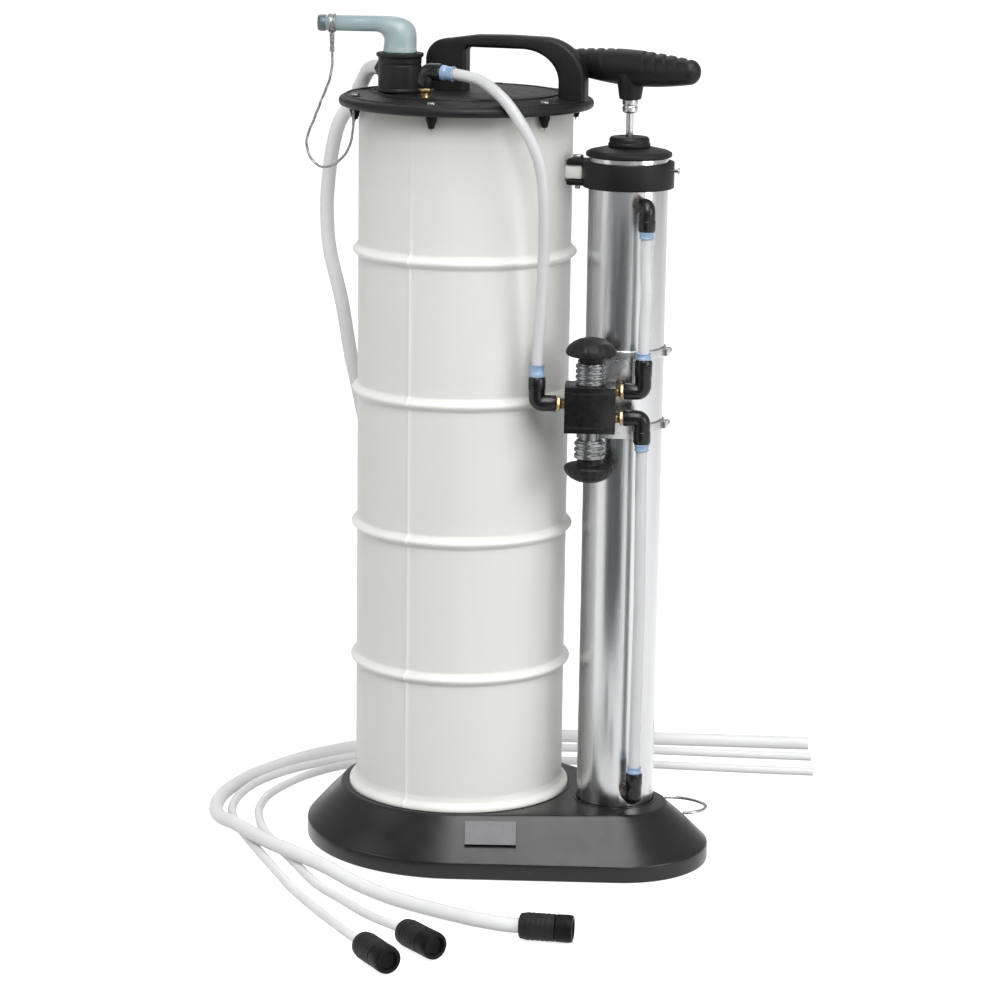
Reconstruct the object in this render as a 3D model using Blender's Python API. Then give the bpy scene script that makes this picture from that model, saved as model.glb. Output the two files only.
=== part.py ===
"""Manual fluid transfer pump: a tall ribbed tank and a hand vacuum pump side by side on one base.

Metres, +Z up. The origin is on the floor, on the tank's axis. +X points towards the pump side,
along the base's straight front edge, and -Y is the front.
"""

import math

import bmesh
import bpy
from mathutils import Matrix, Vector

# ---- driving dimensions (metres) ------------------------------------------------------------
GAP = 0.0003  # clearance that touching pieces keep

TANK_RADIUS = 0.095
TANK_WALL = 0.0025
TANK_BOTTOM = 0.0458
TANK_TOP = 0.6750
FOOT_RADIUS = 0.101
RIB_RADIUS = 0.1004
RIB_HEIGHTS = (0.1713, 0.2961, 0.4193, 0.5443)
FLANGE_RADIUS = 0.1055

BASE_HEIGHT = 0.050
BASE_RIM = 0.0165
BASE_WALL = 0.003
BASE_LEFT = (0.0, 0.0, 0.1395)  # x, y and radius of the rim's round ends
BASE_RIGHT = (0.149, -0.056, 0.081)
TOP_LEFT = (0.0, 0.0, 0.1075)  # the same for the raised top
TOP_RIGHT = (0.1445, -0.0495, 0.0470)
SEAT_DEPTH = 0.0045
MAT_THICKNESS = 0.003

LID_RADIUS = 0.113
LID_TOP = 0.6855
LID_UNDERSIDE = 0.6766
SCREW_CIRCLE = 0.1000
SCREW_ANGLES = (-104, -44, 16, 76, 136, 196)

PUMP_X = 0.1450
PUMP_Y = -0.0388
PUMP_RADIUS = 0.0348
PUMP_BORE = 0.0330
PUMP_BOTTOM = 0.0463
PUMP_TOP = 0.6340
ROD_RADIUS = 0.0032
PUMP_SIDE = math.atan2(PUMP_Y, PUMP_X)  # direction from the tank's axis to the pump's

HANDLE_HALF_WIDTH = 0.0090
GRIP_TURN = math.radians(-43.0)
GRIP_HALF_LENGTH = 0.0785
GRIP_CENTRE_Z = 0.711

SOCKET = (-0.057, -0.026)
SOCKET_LIP = 0.7195
SPOUT_REACH = 0.072
SPOUT_ARM_Z = 0.7441

VALVE = (0.1166, -0.0950, 0.4210)
VALVE_SIZE = (0.0443, 0.0340, 0.0406)
SPOOL_RADIUS = 0.0080
VENT = (-0.031, -0.065)  # the lid's air port
FLOAT = (-0.0300, -0.0630)  # the float's axis, under the port

AIR_LINE = 0.010  # outside diameters of the hoses
SUCTION_HOSE = 0.013
SMALL_TUBE = 0.008
LANYARD_CORD = 0.0024

COIL_CENTRE = (-0.015, 0.405)
COIL_INNER = 0.0516
COIL_OUTER = 0.0852

BLACK = (0.018, 0.018, 0.019)
RUBBER = (0.012, 0.012, 0.012)
MILKY = (0.78, 0.79, 0.75)
ALUMINIUM = (0.80, 0.81, 0.82)
STEEL = (0.62, 0.63, 0.64)
BLUE_GREY = (0.36, 0.45, 0.48)
BLUE = (0.30, 0.52, 0.80)
CLEAR = (0.80, 0.82, 0.82)


# ---- helpers --------------------------------------------------------------------------------
def clear_scene():
    for found in list(bpy.data.objects):
        bpy.data.objects.remove(found, do_unlink=True)


def material(name, colour, roughness, metallic=0.0, alpha=1.0):
    made = bpy.data.materials.new(name)
    made.use_nodes = True
    shader = made.node_tree.nodes["Principled BSDF"]
    shader.inputs["Base Color"].default_value = (*colour, 1.0)
    shader.inputs["Roughness"].default_value = roughness
    shader.inputs["Metallic"].default_value = metallic
    shader.inputs["Alpha"].default_value = alpha
    return made


def add_object(name, data, surface=None, at=(0.0, 0.0, 0.0), turn=0.0, parent=None):
    made = bpy.data.objects.new(name, data)
    bpy.context.scene.collection.objects.link(made)
    made.location = at
    made.rotation_euler = (0.0, 0.0, turn)
    if surface is not None:
        data.materials.append(surface)
    if parent is not None:
        made.parent = parent
        made.location = Vector(at) - parent.location
    return made


def axis_empty(name, at):
    made = bpy.data.objects.new(name, None)
    bpy.context.scene.collection.objects.link(made)
    made.location = at
    return made


def mesh_from(build, sharp=35.0):
    """A mesh from a function that fills a bmesh, with its faces turned out and shaded smooth."""
    bm = bmesh.new()
    build(bm)
    bmesh.ops.recalc_face_normals(bm, faces=bm.faces)
    mesh = bpy.data.meshes.new("piece")
    bm.to_mesh(mesh)
    bm.free()
    mesh.shade_smooth()
    mesh.set_sharp_from_angle(angle=math.radians(sharp))
    return mesh


def bridge(bm, lower, upper):
    """Faces between two rings of vertices; a ring of one vertex closes to a point."""
    count = max(len(lower), len(upper))
    for i in range(count):
        j = (i + 1) % count
        corners = [lower[i % len(lower)], lower[j % len(lower)]]
        corners += [upper[j % len(upper)], upper[i % len(upper)]]
        corners = list(dict.fromkeys(corners))
        if len(corners) > 2:
            bm.faces.new(corners)


def turned_mesh(profile, segments=32, ring=False):
    """Turns (radius, height) points about Z. A ring's profile closes on itself."""

    def build(bm):
        rings = []
        for radius, height in profile:
            steps = 1 if radius < 1e-6 else segments
            angles = [2 * math.pi * i / segments for i in range(steps)]
            rings.append(
                [bm.verts.new((radius * math.cos(a), radius * math.sin(a), height)) for a in angles]
            )
        for lower, upper in zip(rings, rings[1:]):
            bridge(bm, lower, upper)
        if ring:
            bridge(bm, rings[-1], rings[0])

    return mesh_from(build)


def loft_mesh(rings, closed=False, sharp=35.0):
    """Skins closed rings of points; the two end rings are capped unless the loft closes."""

    def build(bm):
        made = [[bm.verts.new(p) for p in ring] for ring in rings]
        for lower, upper in zip(made, made[1:]):
            bridge(bm, lower, upper)
        if closed:
            bridge(bm, made[-1], made[0])
        else:
            bm.faces.new(list(reversed(made[0])))
            bm.faces.new(made[-1])

    return mesh_from(build, sharp)


def ellipse(centre, across, up, count=16):
    """A ring of points round centre, with two half-axes as vectors."""
    centre, across, up = Vector(centre), Vector(across), Vector(up)
    angles = [2 * math.pi * i / count for i in range(count)]
    return [centre + across * math.cos(a) + up * math.sin(a) for a in angles]


def rod_mesh(start, end, radius, count=16):
    """A plain cylinder between two points."""
    start, end = Vector(start), Vector(end)
    across, up = side_vectors(end - start)
    rings = [ellipse(p, across * radius, up * radius, count) for p in (start, end)]
    return loft_mesh(rings)


def side_vectors(direction):
    """Two unit vectors at right angles to a direction and to each other."""
    direction = direction.normalized()
    guide = Vector((0, 0, 1)) if abs(direction.z) < 0.9 else Vector((0, 1, 0))
    across = direction.cross(guide).normalized()
    return across, across.cross(direction).normalized()


def prism_mesh(outline, low, high):
    """An upright prism on a flat outline of (x, y) points."""
    return loft_mesh([[(x, y, z) for x, y in outline] for z in (low, high)])


def box_outline(x0, x1, y0, y1):
    return [(x0, y0), (x1, y0), (x1, y1), (x0, y1)]


def helper(name, mesh, at=(0.0, 0.0, 0.0), turn=0.0):
    """A hidden operand for a Boolean."""
    made = add_object(name, mesh, None, at, turn)
    made.hide_render = True
    made.display_type = "WIRE"
    return made


def combine(target, operation, operand):
    step = target.modifiers.new(operation.lower(), "BOOLEAN")
    step.operation = operation
    step.solver = "EXACT"
    step.object = operand


def soften(target, width, segments=2, angle=50.0):
    step = target.modifiers.new("soften", "BEVEL")
    step.width = width
    step.segments = segments
    step.limit_method = "ANGLE"
    step.angle_limit = math.radians(angle)


def arc(centre, radii, start, end, steps):
    """Points on an ellipse's arc, in degrees."""
    angles = [math.radians(start + (end - start) * i / steps) for i in range(steps + 1)]
    return [(centre[0] + radii[0] * math.cos(a), centre[1] + radii[1] * math.sin(a)) for a in angles]


def smooth_route(points, spacing):
    """Spaced points on a Catmull-Rom curve through the given points, with a short first and last
    step so that the ends stand square to the curve."""
    points = [Vector(p) for p in points]
    padded = [points[0] * 2 - points[1]] + points + [points[-1] * 2 - points[-2]]
    fine = []
    for a, b, c, d in zip(padded, padded[1:], padded[2:], padded[3:]):
        for i in range(24):
            t = i / 24
            fine.append(
                0.5
                * (
                    2 * b
                    + (c - a) * t
                    + (2 * a - 5 * b + 4 * c - d) * t**2
                    + (3 * b - 3 * c + d - a) * t**3
                )
            )
    fine.append(points[-1])
    lengths = [0.0]
    for p, q in zip(fine, fine[1:]):
        lengths.append(lengths[-1] + (q - p).length)
    count = max(2, round(lengths[-1] / spacing))
    steps = [0, 0.2, *range(1, count), count - 0.2, count]
    route = []
    place = 0
    for step in steps:
        wanted = lengths[-1] * step / count
        while place < len(fine) - 2 and lengths[place + 1] < wanted:
            place += 1
        span = lengths[place + 1] - lengths[place]
        route.append(fine[place].lerp(fine[place + 1], (wanted - lengths[place]) / span))
    return route


def hose(name, points, diameter, surface, spacing=2.5, sides=2):
    """A round hose or cord through the given points."""
    curve = bpy.data.curves.new(name, "CURVE")
    curve.dimensions = "3D"
    curve.bevel_depth = diameter / 2
    curve.bevel_resolution = sides
    curve.use_fill_caps = True
    spline = curve.splines.new("POLY")
    route = smooth_route(points, diameter * spacing)
    spline.points.add(len(route) - 1)
    for place, point in zip(spline.points, route):
        place.co = (*point, 1.0)
    return add_object(name, curve, surface)


def toward(angle, distance, z=0.0):
    return Vector((distance * math.cos(angle), distance * math.sin(angle), z))


# ---- base -----------------------------------------------------------------------------------
def egg_outline(left, right, shrink=0.0, left_steps=26, right_steps=16):
    """The outline that two round ends and their common tangents make."""
    x0, y0, r0 = left
    x1, y1, r1 = right
    r0, r1 = r0 - shrink, r1 - shrink
    lean = math.atan2(y1 - y0, x1 - x0)
    spread = math.acos((r0 - r1) / math.hypot(x1 - x0, y1 - y0))
    points = []
    for i in range(right_steps + 1):
        a = lean - spread + 2 * spread * i / right_steps
        points.append((x1 + r1 * math.cos(a), y1 + r1 * math.sin(a)))
    for i in range(left_steps + 1):
        a = lean + spread + 2 * (math.pi - spread) * i / left_steps
        points.append((x0 + r0 * math.cos(a), y0 + r0 * math.sin(a)))
    return points


def base_rings(levels):
    rings = []
    for ends, shrink, z in levels:
        rings.append([(x, y, z) for x, y in egg_outline(*ends, shrink)])
    return rings


def build_base(plastic, rubber, plate):
    rim = (BASE_LEFT, BASE_RIGHT)
    top = (TOP_LEFT, TOP_RIGHT)
    shell = add_object(
        "base_shell",
        loft_mesh(
            base_rings(
                (
                    (rim, 0.0012, 0.0006),
                    (rim, 0.0, 0.0020),
                    (rim, 0.0, BASE_RIM - 0.0015),
                    (rim, 0.0014, BASE_RIM),
                    (top, -0.0012, BASE_HEIGHT - 0.0012),
                    (top, 0.0012, BASE_HEIGHT),
                )
            ),
            sharp=25.0,
        ),
        plastic,
    )
    cavity = base_rings(
        (
            (rim, BASE_WALL, -0.010),
            (rim, BASE_WALL, BASE_RIM - 0.0020),
            (top, BASE_WALL + 0.001, BASE_HEIGHT - 0.0082),
        )
    )
    combine(shell, "DIFFERENCE", helper("base_cavity", loft_mesh(cavity)))
    seats = ((0.0, 0.0, FOOT_RADIUS + 0.0006), (PUMP_X, PUMP_Y, PUMP_RADIUS + 0.0005))
    for i, (x, y, radius) in enumerate(seats):
        low = (x, y, BASE_HEIGHT - SEAT_DEPTH)
        seat = rod_mesh(low, (x, y, BASE_HEIGHT + 0.01), radius, 44)
        combine(shell, "DIFFERENCE", helper(f"base_seat_{i}", seat))
    mat_rings = base_rings(
        ((rim, BASE_WALL + GAP, 0.0), (rim, BASE_WALL + GAP, MAT_THICKNESS))
    )
    add_object("base_mat", loft_mesh(mat_rings), rubber)
    build_plate(plate)


def build_plate(surface):
    """A blank plate on the front slope, between the rim and the raised top."""
    run = (BASE_LEFT[2] - 0.0014) - (TOP_LEFT[2] + 0.0012)
    rise = (BASE_HEIGHT - 0.0012) - BASE_RIM
    slope = math.atan2(rise, run)
    middle_y = -(BASE_LEFT[2] + TOP_LEFT[2]) / 2
    made = add_object(
        "name_plate",
        prism_mesh(box_outline(-0.0230, 0.0230, -0.0115, 0.0115), 0.0, 0.0008),
        surface,
        at=(0.036, middle_y + 0.0028, (BASE_HEIGHT + BASE_RIM) / 2 + 0.0052),
    )
    made.rotation_euler = (slope, 0.0, math.radians(2.6))
    soften(made, 0.00025, 1)


# ---- tank and lid ---------------------------------------------------------------------------
def tank_profile():
    inner = TANK_RADIUS - TANK_WALL
    outline = [(0.0, TANK_BOTTOM), (FOOT_RADIUS - 0.002, TANK_BOTTOM)]
    outline += [(FOOT_RADIUS, TANK_BOTTOM + 0.002), (FOOT_RADIUS, 0.0530), (TANK_RADIUS, 0.0610)]
    for z in RIB_HEIGHTS:
        outline += [(TANK_RADIUS, z - 0.0065), (RIB_RADIUS - 0.0006, z - 0.0026)]
        outline += [(RIB_RADIUS - 0.0006, z + 0.0026), (TANK_RADIUS, z + 0.0065)]
    outline += [(TANK_RADIUS, TANK_TOP - 0.0034), (FLANGE_RADIUS, TANK_TOP - 0.0030)]
    outline += [(FLANGE_RADIUS, TANK_TOP), (inner, TANK_TOP), (inner, 0.0500), (0.0, 0.0490)]
    return outline


def screw_holes(name, radius, low, high):
    """Six hidden cylinders on the screw circle, to cut the screws' holes."""

    def build(bm):
        for degrees in SCREW_ANGLES:
            spot = toward(math.radians(degrees), SCREW_CIRCLE, (low + high) / 2)
            bmesh.ops.create_cone(
                bm,
                cap_ends=True,
                segments=10,
                radius1=radius,
                radius2=radius,
                depth=high - low,
                matrix=Matrix.Translation(spot),
            )

    return helper(name, mesh_from(build))


def build_tank(milky, rubber):
    tank = add_object("tank", turned_mesh(tank_profile(), 36), milky)
    lug = prism_mesh(box_outline(TANK_RADIUS - 0.0015, 0.1095, -0.0080, 0.0080), 0.6127, 0.6244)
    combine(tank, "UNION", helper("tank_lug", lug, turn=PUMP_SIDE))
    bolt = toward(PUMP_SIDE, 0.1040)
    bolt_hole = rod_mesh((bolt.x, bolt.y, 0.60), (bolt.x, bolt.y, 0.64), 0.0029, 12)
    combine(tank, "DIFFERENCE", helper("tank_lug_hole", bolt_hole))
    combine(tank, "DIFFERENCE", screw_holes("tank_screw_holes", 0.0021, 0.665, 0.690))
    seal = [(0.0932, TANK_TOP + GAP), (0.0968, TANK_TOP + GAP)]
    seal += [(0.0968, LID_UNDERSIDE - GAP), (0.0932, LID_UNDERSIDE - GAP)]
    add_object("tank_gasket", turned_mesh(seal, 32, ring=True), rubber)


def lid_top_profile(lift=0.0):
    """The lid's upper side from the middle out to the widest point of its rim."""
    points = [(0.0, LID_TOP), (0.072, LID_TOP - 0.0003), (0.090, 0.6830), (0.0975, 0.6806)]
    points += [(0.1040, 0.6808), (0.1085, 0.6808), (0.1120, 0.6788), (LID_RADIUS, 0.6762)]
    return [(r, z + lift) for r, z in points]


def lid_envelope(name):
    """A hidden solid just over the lid, which trims what stands on it."""
    outline = lid_top_profile(GAP) + [(LID_RADIUS + 0.02, 0.6762), (LID_RADIUS + 0.02, 0.640)]
    return helper(name, turned_mesh(outline + [(0.0, 0.640)], 48))


def build_lid(plastic, steel):
    outline = lid_top_profile()
    outline += [(0.1122, 0.6728), (0.1100, 0.6717), (0.1062, 0.6717), (0.1062, LID_UNDERSIDE)]
    outline += [(0.0918, LID_UNDERSIDE), (0.0918, 0.6690), (0.0890, 0.6690), (0.0890, 0.6785)]
    outline += [(0.0, 0.6785)]
    lid = add_object("lid", turned_mesh(outline, 48), plastic)
    socket_hole = rod_mesh((*SOCKET, 0.65), (*SOCKET, 0.70), 0.0124, 20)
    combine(lid, "DIFFERENCE", helper("lid_socket_hole", socket_hole))
    vent_hole = rod_mesh((*VENT, 0.65), (*VENT, 0.70), 0.0052, 14)
    combine(lid, "DIFFERENCE", helper("lid_vent_hole", vent_hole))
    combine(lid, "DIFFERENCE", screw_holes("lid_screw_holes", 0.0021, 0.665, 0.690))
    screw = turned_mesh(
        [(0.0, 0.6575), (0.0009, 0.6605), (0.0018, 0.6660), (0.0018, 0.6814), (0.0042, 0.6814)]
        + [(0.0040, 0.6830), (0.0024, 0.6840), (0.0, 0.6840)],
        10,
    )
    screw.materials.append(steel)
    for i, degrees in enumerate(SCREW_ANGLES):
        spot = toward(math.radians(degrees), SCREW_CIRCLE)
        add_object(f"lid_screw_{i + 1}", screw, None, at=spot)


def handle_outline():
    """The carry handle's side view: distance along the pump's direction, and height."""
    foot = 0.670
    outline = [(-0.036, foot), (-0.036, 0.7120)]
    outline += arc((-0.017, 0.7120), (0.019, 0.0185), 180, 90, 5)[1:]
    outline += [(0.010, 0.7345), (0.040, 0.7352), (0.070, 0.7345)]
    outline += arc((0.070, 0.6970), (0.0404, 0.0375), 90, 0, 8)[1:]
    outline += [(0.1104, foot), (0.0864, foot), (0.0864, 0.6970)]
    outline += arc((0.052, 0.6970), (0.0342, 0.0267), 0, 90, 7)[1:]
    outline += [(0.0050, 0.7237)]
    outline += arc((0.0050, 0.7197), (0.0040, 0.0040), 90, 180, 2)[1:]
    outline += [(0.0010, foot)]
    return outline


def build_handle(plastic):
    sides = (-HANDLE_HALF_WIDTH, HANDLE_HALF_WIDTH)
    rings = [[(s, y, z) for s, z in handle_outline()] for y in sides]
    handle = add_object("carry_handle", loft_mesh(rings), plastic, turn=PUMP_SIDE)
    soften(handle, 0.0030, 2, 60.0)
    combine(handle, "DIFFERENCE", lid_envelope("handle_trim"))


# ---- spout, socket and lanyard --------------------------------------------------------------
def build_socket(plastic):
    x, y = SOCKET
    outline = [(0.0, 0.662), (0.0120, 0.662), (0.0120, 0.6788), (0.0120, LID_TOP + GAP)]
    outline += [(0.0192, LID_TOP + GAP), (0.0192, 0.7160), (0.0207, 0.7165), (0.0207, SOCKET_LIP)]
    outline += [(0.0152, SOCKET_LIP), (0.0152, 0.7000), (0.0, 0.7000)]
    socket = add_object("spout_socket", turned_mesh(outline, 28), plastic, at=(x, y, 0.0))
    start = Vector((x, y, 0.7030)) + HOSE_PORT_WAY * 0.0170
    nut = rod_mesh(start, Vector((x, y, 0.7030)) + HOSE_PORT_WAY * 0.0375, 0.0088, 6)
    combine(socket, "UNION", helper("hose_nut", nut))


def spout_rings(count=18):
    """Rings of the spout: round stem, a bend that fans about the inner corner, and a thin arm."""
    stem = 0.0145
    arm = 0.0069
    corner = Vector((-0.0215, 0.0, 0.7295))
    inner = SPOUT_ARM_Z - arm - corner.z
    rings = []
    for radius, z in ((0.0118, 0.7010), (0.0118, SOCKET_LIP + 0.0004), (stem, SOCKET_LIP + 0.0006)):
        rings.append(ellipse((0, 0, z), (radius, 0, 0), (0, radius, 0), count))
    steps = 7
    for i in range(steps + 1):
        angle = math.radians(90 * i / steps)
        way = Vector((math.cos(angle), 0.0, math.sin(angle)))
        reach_x = stem - corner.x
        reach_z = SPOUT_ARM_Z + arm - corner.z
        power = 3.2
        outer = (abs(way.x / reach_x) ** power + abs(way.z / reach_z) ** power) ** (-1 / power)
        near = corner + way * inner
        far = corner + way * outer
        width = stem + (arm - stem) * (i / steps) ** 1.4
        rings.append(ellipse((near + far) / 2, (far - near) / 2, (0, width, 0), count))
    for x, radius in ((-0.0335, arm), (-SPOUT_REACH, arm), (-SPOUT_REACH, arm - 0.0021)):
        rings.append(ellipse((x, 0, SPOUT_ARM_Z), (0, 0, radius), (0, radius, 0), count))
    depth = -SPOUT_REACH + 0.0150
    bore = arm - 0.0021
    rings.append(ellipse((depth, 0, SPOUT_ARM_Z), (0, 0, bore), (0, bore, 0), count))
    return rings


def build_spout(blue_grey, rubber, steel):
    x, y = SOCKET
    pivot = axis_empty("spout_axis", (x, y, SOCKET_LIP))
    add_object("pour_spout", loft_mesh(spout_rings()), blue_grey, (x, y, 0.0), parent=pivot)
    ring = [(0.0121, 0.7055), (0.0149, 0.7055), (0.0149, 0.7080), (0.0121, 0.7080)]
    seal = turned_mesh(ring, 20, ring=True)
    add_object("spout_oring", seal, rubber, (x, y, 0.0), parent=pivot)
    band = [(0.0072, -0.003), (0.0084, -0.003), (0.0084, 0.003), (0.0072, 0.003)]
    clip = add_object(
        "lanyard_clip",
        turned_mesh(band, 18, ring=True),
        steel,
        (CLIP_X, y, SPOUT_ARM_Z),
        parent=pivot,
    )
    clip.rotation_euler = (0.0, math.radians(90.0), 0.0)
    shank = rod_mesh((CLIP_X, y, SPOUT_ARM_Z - 0.0078), (CLIP_X, y, CLIP_END_Z), 0.0021, 10)
    combine(clip, "UNION", helper("lanyard_crimp", shank))


def build_lanyard(cord):
    route = [(CLIP_X, -0.026, CLIP_END_Z - GAP), (-0.1163, -0.0265, 0.7100)]
    route += [(-0.1184, -0.029, 0.6955), (-0.1257, -0.031, 0.6763), (-0.1316, -0.033, 0.6607)]
    route += [(-0.1374, -0.036, 0.6447), (-0.1362, -0.039, 0.6328), (-0.1297, -0.042, 0.6232)]
    route += [(-0.1206, -0.045, 0.6202), (-0.1102, -0.049, 0.6245), (-0.1010, -0.053, 0.6345)]
    route += [(-0.0968, -0.055, 0.6451), (-0.0950, -0.056, 0.6576), (-0.0948, -0.056, 0.6714)]
    hose("lanyard", route, LANYARD_CORD, cord, 3.0)


# ---- float valve under the lid --------------------------------------------------------------
def build_float(plastic, pale):
    x, y = FLOAT
    cage = [(0.0, 0.6180), (0.0180, 0.6180), (0.0180, 0.6782), (0.0, 0.6782)]
    made = add_object("float_cage", turned_mesh(cage, 24), plastic, at=(x, y, 0.0))
    hollow = rod_mesh((x, y, 0.6200), (x, y, 0.6760), 0.0160, 24)
    combine(made, "DIFFERENCE", helper("float_hollow", hollow))
    for i, turn in enumerate((0.0, 90.0)):
        window = prism_mesh(box_outline(-0.020, 0.020, -0.0075, 0.0075), 0.6240, 0.6700)
        cutter = helper(f"float_window_{i}", window, (x, y, 0.0), math.radians(turn + 15.0))
        combine(made, "DIFFERENCE", cutter)
    body = [(0.0, 0.6203), (0.0120, 0.6203), (0.0148, 0.6230), (0.0148, 0.6460), (0.0110, 0.6500)]
    body += [(0.0, 0.6510)]
    add_object("float", turned_mesh(body, 20), pale, at=(x, y, 0.0))


# ---- hand pump ------------------------------------------------------------------------------
def build_pump_tube(aluminium, plastic):
    at = (PUMP_X, PUMP_Y, 0.0)
    wall = [(PUMP_BORE, PUMP_BOTTOM), (PUMP_RADIUS, PUMP_BOTTOM)]
    wall += [(PUMP_RADIUS, PUMP_TOP), (PUMP_BORE, PUMP_TOP)]
    tube = add_object("pump_tube", turned_mesh(wall, 40, ring=True), aluminium, at=at)
    for i, (height, _) in enumerate(PUMP_PORTS):
        start = toward(PORT_SIDE, 0.025, height) + Vector(at)
        end = toward(PORT_SIDE, 0.045, height) + Vector(at)
        combine(tube, "DIFFERENCE", helper(f"pump_port_{i}", rod_mesh(start, end, 0.0052, 14)))
    foot = [(0.0, 0.0463), (0.0327, 0.0463), (0.0327, 0.0570), (0.0, 0.0570)]
    add_object("pump_foot", turned_mesh(foot, 32), plastic, at=at)
    bore = ROD_RADIUS + 0.0004
    cap = [(bore, 0.6160), (0.0327, 0.6160), (0.0327, PUMP_TOP + GAP), (0.0372, PUMP_TOP + GAP)]
    cap += [(0.0378, 0.6352), (0.0376, 0.6384), (0.0290, 0.6412), (0.0200, 0.6424), (bore, 0.6424)]
    add_object("pump_cap", turned_mesh(cap, 32, ring=True), plastic, at=at)
    gland = [(bore, 0.6427), (0.0185, 0.6427), (0.0180, 0.6495), (0.0160, 0.6520), (bore, 0.6520)]
    add_object("rod_gland", turned_mesh(gland, 24, ring=True), plastic, at=at)


def build_piston(plastic, rubber, chrome, black):
    at = (PUMP_X, PUMP_Y, 0.0)
    stroke = axis_empty("pump_axis", at)
    outline = [(0.0, 0.0760), (0.0318, 0.0760), (0.0318, 0.0810), (0.0265, 0.0810)]
    outline += [(0.0265, 0.0880), (0.0318, 0.0880), (0.0318, 0.0930), (0.0, 0.0930)]
    add_object("piston", turned_mesh(outline, 32), plastic, at, parent=stroke)
    cup = [(0.0268, 0.0813), (0.0316, 0.0813), (0.0328, 0.0877), (0.0268, 0.0877)]
    add_object("piston_seal", turned_mesh(cup, 32, ring=True), rubber, at, parent=stroke)
    rod = [(0.0, 0.0933), (ROD_RADIUS, 0.0933), (ROD_RADIUS, 0.6722), (0.0060, 0.6726)]
    rod += [(0.0068, 0.6736), (0.0068, 0.6834), (0.0, 0.6834)]
    add_object("pump_rod", turned_mesh(rod, 16), chrome, at, parent=stroke)
    build_grip(black, at, stroke)


def build_grip(surface, at, parent):
    """A T-grip: an oval bar that thins towards its ends, on a short stem."""
    rings = []
    steps = 12
    for i in range(steps + 1):
        s = -1.0 + 2.0 * i / steps
        swell = math.cos(s * math.pi / 2) ** 0.9 if abs(s) < 1 else 0.0
        tip = 0.55 if abs(s) == 1 else 1.0
        half_height = (0.0095 + 0.0062 * swell) * tip
        half_width = (0.0088 + 0.0032 * swell) * tip
        centre_z = GRIP_CENTRE_Z + 0.0012 * (1 - swell)
        x = s * GRIP_HALF_LENGTH if abs(s) < 1 else math.copysign(GRIP_HALF_LENGTH + 0.0, s)
        if abs(s) == 1:
            near = s * (GRIP_HALF_LENGTH - 0.0035)
            bulge = ellipse((near, 0, centre_z), (0, half_width / tip, 0), (0, 0, half_height / tip))
            end = ellipse((x, 0, centre_z), (0, half_width, 0), (0, 0, half_height))
            rings += [end, bulge] if s < 0 else [bulge, end]
        else:
            rings.append(ellipse((x, 0, centre_z), (0, half_width, 0), (0, 0, half_height)))
    grip = add_object("t_grip", loft_mesh(rings), surface, at, GRIP_TURN, parent)
    stem = [(0.0, 0.6837), (0.0088, 0.6837), (0.0098, 0.6850), (0.0112, 0.6960), (0.0112, 0.7120)]
    operand = helper("grip_stem", turned_mesh(stem + [(0.0, 0.7120)], 18), at)
    combine(grip, "UNION", operand)


def build_clamp(plastic, steel):
    at = (PUMP_X, PUMP_Y, 0.0)
    ring = [(PUMP_RADIUS + GAP, 0.6072), (0.0400, 0.6072), (0.0400, 0.6302), (PUMP_RADIUS + GAP, 0.6302)]
    band = add_object("clamp_band", turned_mesh(ring, 40, ring=True), plastic, at=at)
    back = PUMP_SIDE + math.pi
    for i, (low, high) in enumerate(((0.6072, 0.6120), (0.6250, 0.6302))):
        plate = prism_mesh(box_outline(0.0365, 0.0540, -0.0100, 0.0100), low, high)
        combine(band, "UNION", helper(f"clamp_plate_{i}", plate, at, back))
    spot = toward(PUMP_SIDE, 0.1040)
    hole = rod_mesh((spot.x, spot.y, 0.59), (spot.x, spot.y, 0.65), 0.0029, 12)
    combine(band, "DIFFERENCE", helper("clamp_hole", hole))
    bolt = [(0.0, 0.6035), (0.0025, 0.6035), (0.0025, 0.6305), (0.0048, 0.6305), (0.0048, 0.6335)]
    add_object("clamp_bolt", turned_mesh(bolt + [(0.0, 0.6335)], 12), steel, at=spot)


# ---- change-over valve ----------------------------------------------------------------------
def build_bracket(steel):
    """Two bands round the pump joined by a plate that carries the valve."""
    at = (PUMP_X, PUMP_Y, 0.0)
    x0 = VALVE[0] - PUMP_X - 0.012
    plate = add_object(
        "valve_bracket",
        prism_mesh(box_outline(x0, 0.0080, -0.0386, -0.0358), 0.3900, 0.4600),
        steel,
        at=at,
    )
    tab = prism_mesh(box_outline(-0.0050, 0.0080, -0.0386, -0.0358), 0.4500, 0.4676)
    combine(plate, "UNION", helper("valve_tab", tab, at))
    for i, height in enumerate(BAND_HEIGHTS):
        ring = [(PUMP_RADIUS + GAP, height - 0.004), (0.0366, height - 0.004)]
        ring += [(0.0366, height + 0.004), (PUMP_RADIUS + GAP, height + 0.004)]
        band = helper(f"valve_band_{i}", turned_mesh(ring, 40, ring=True), at)
        combine(plate, "UNION", band)
        block = prism_mesh(box_outline(0.0350 + 0.0008, 0.0400, -0.0050, 0.0050), height - 0.0032, height + 0.0032)
        combine(plate, "UNION", helper(f"band_screw_{i}", block, at, math.radians(-12.0)))


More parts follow.
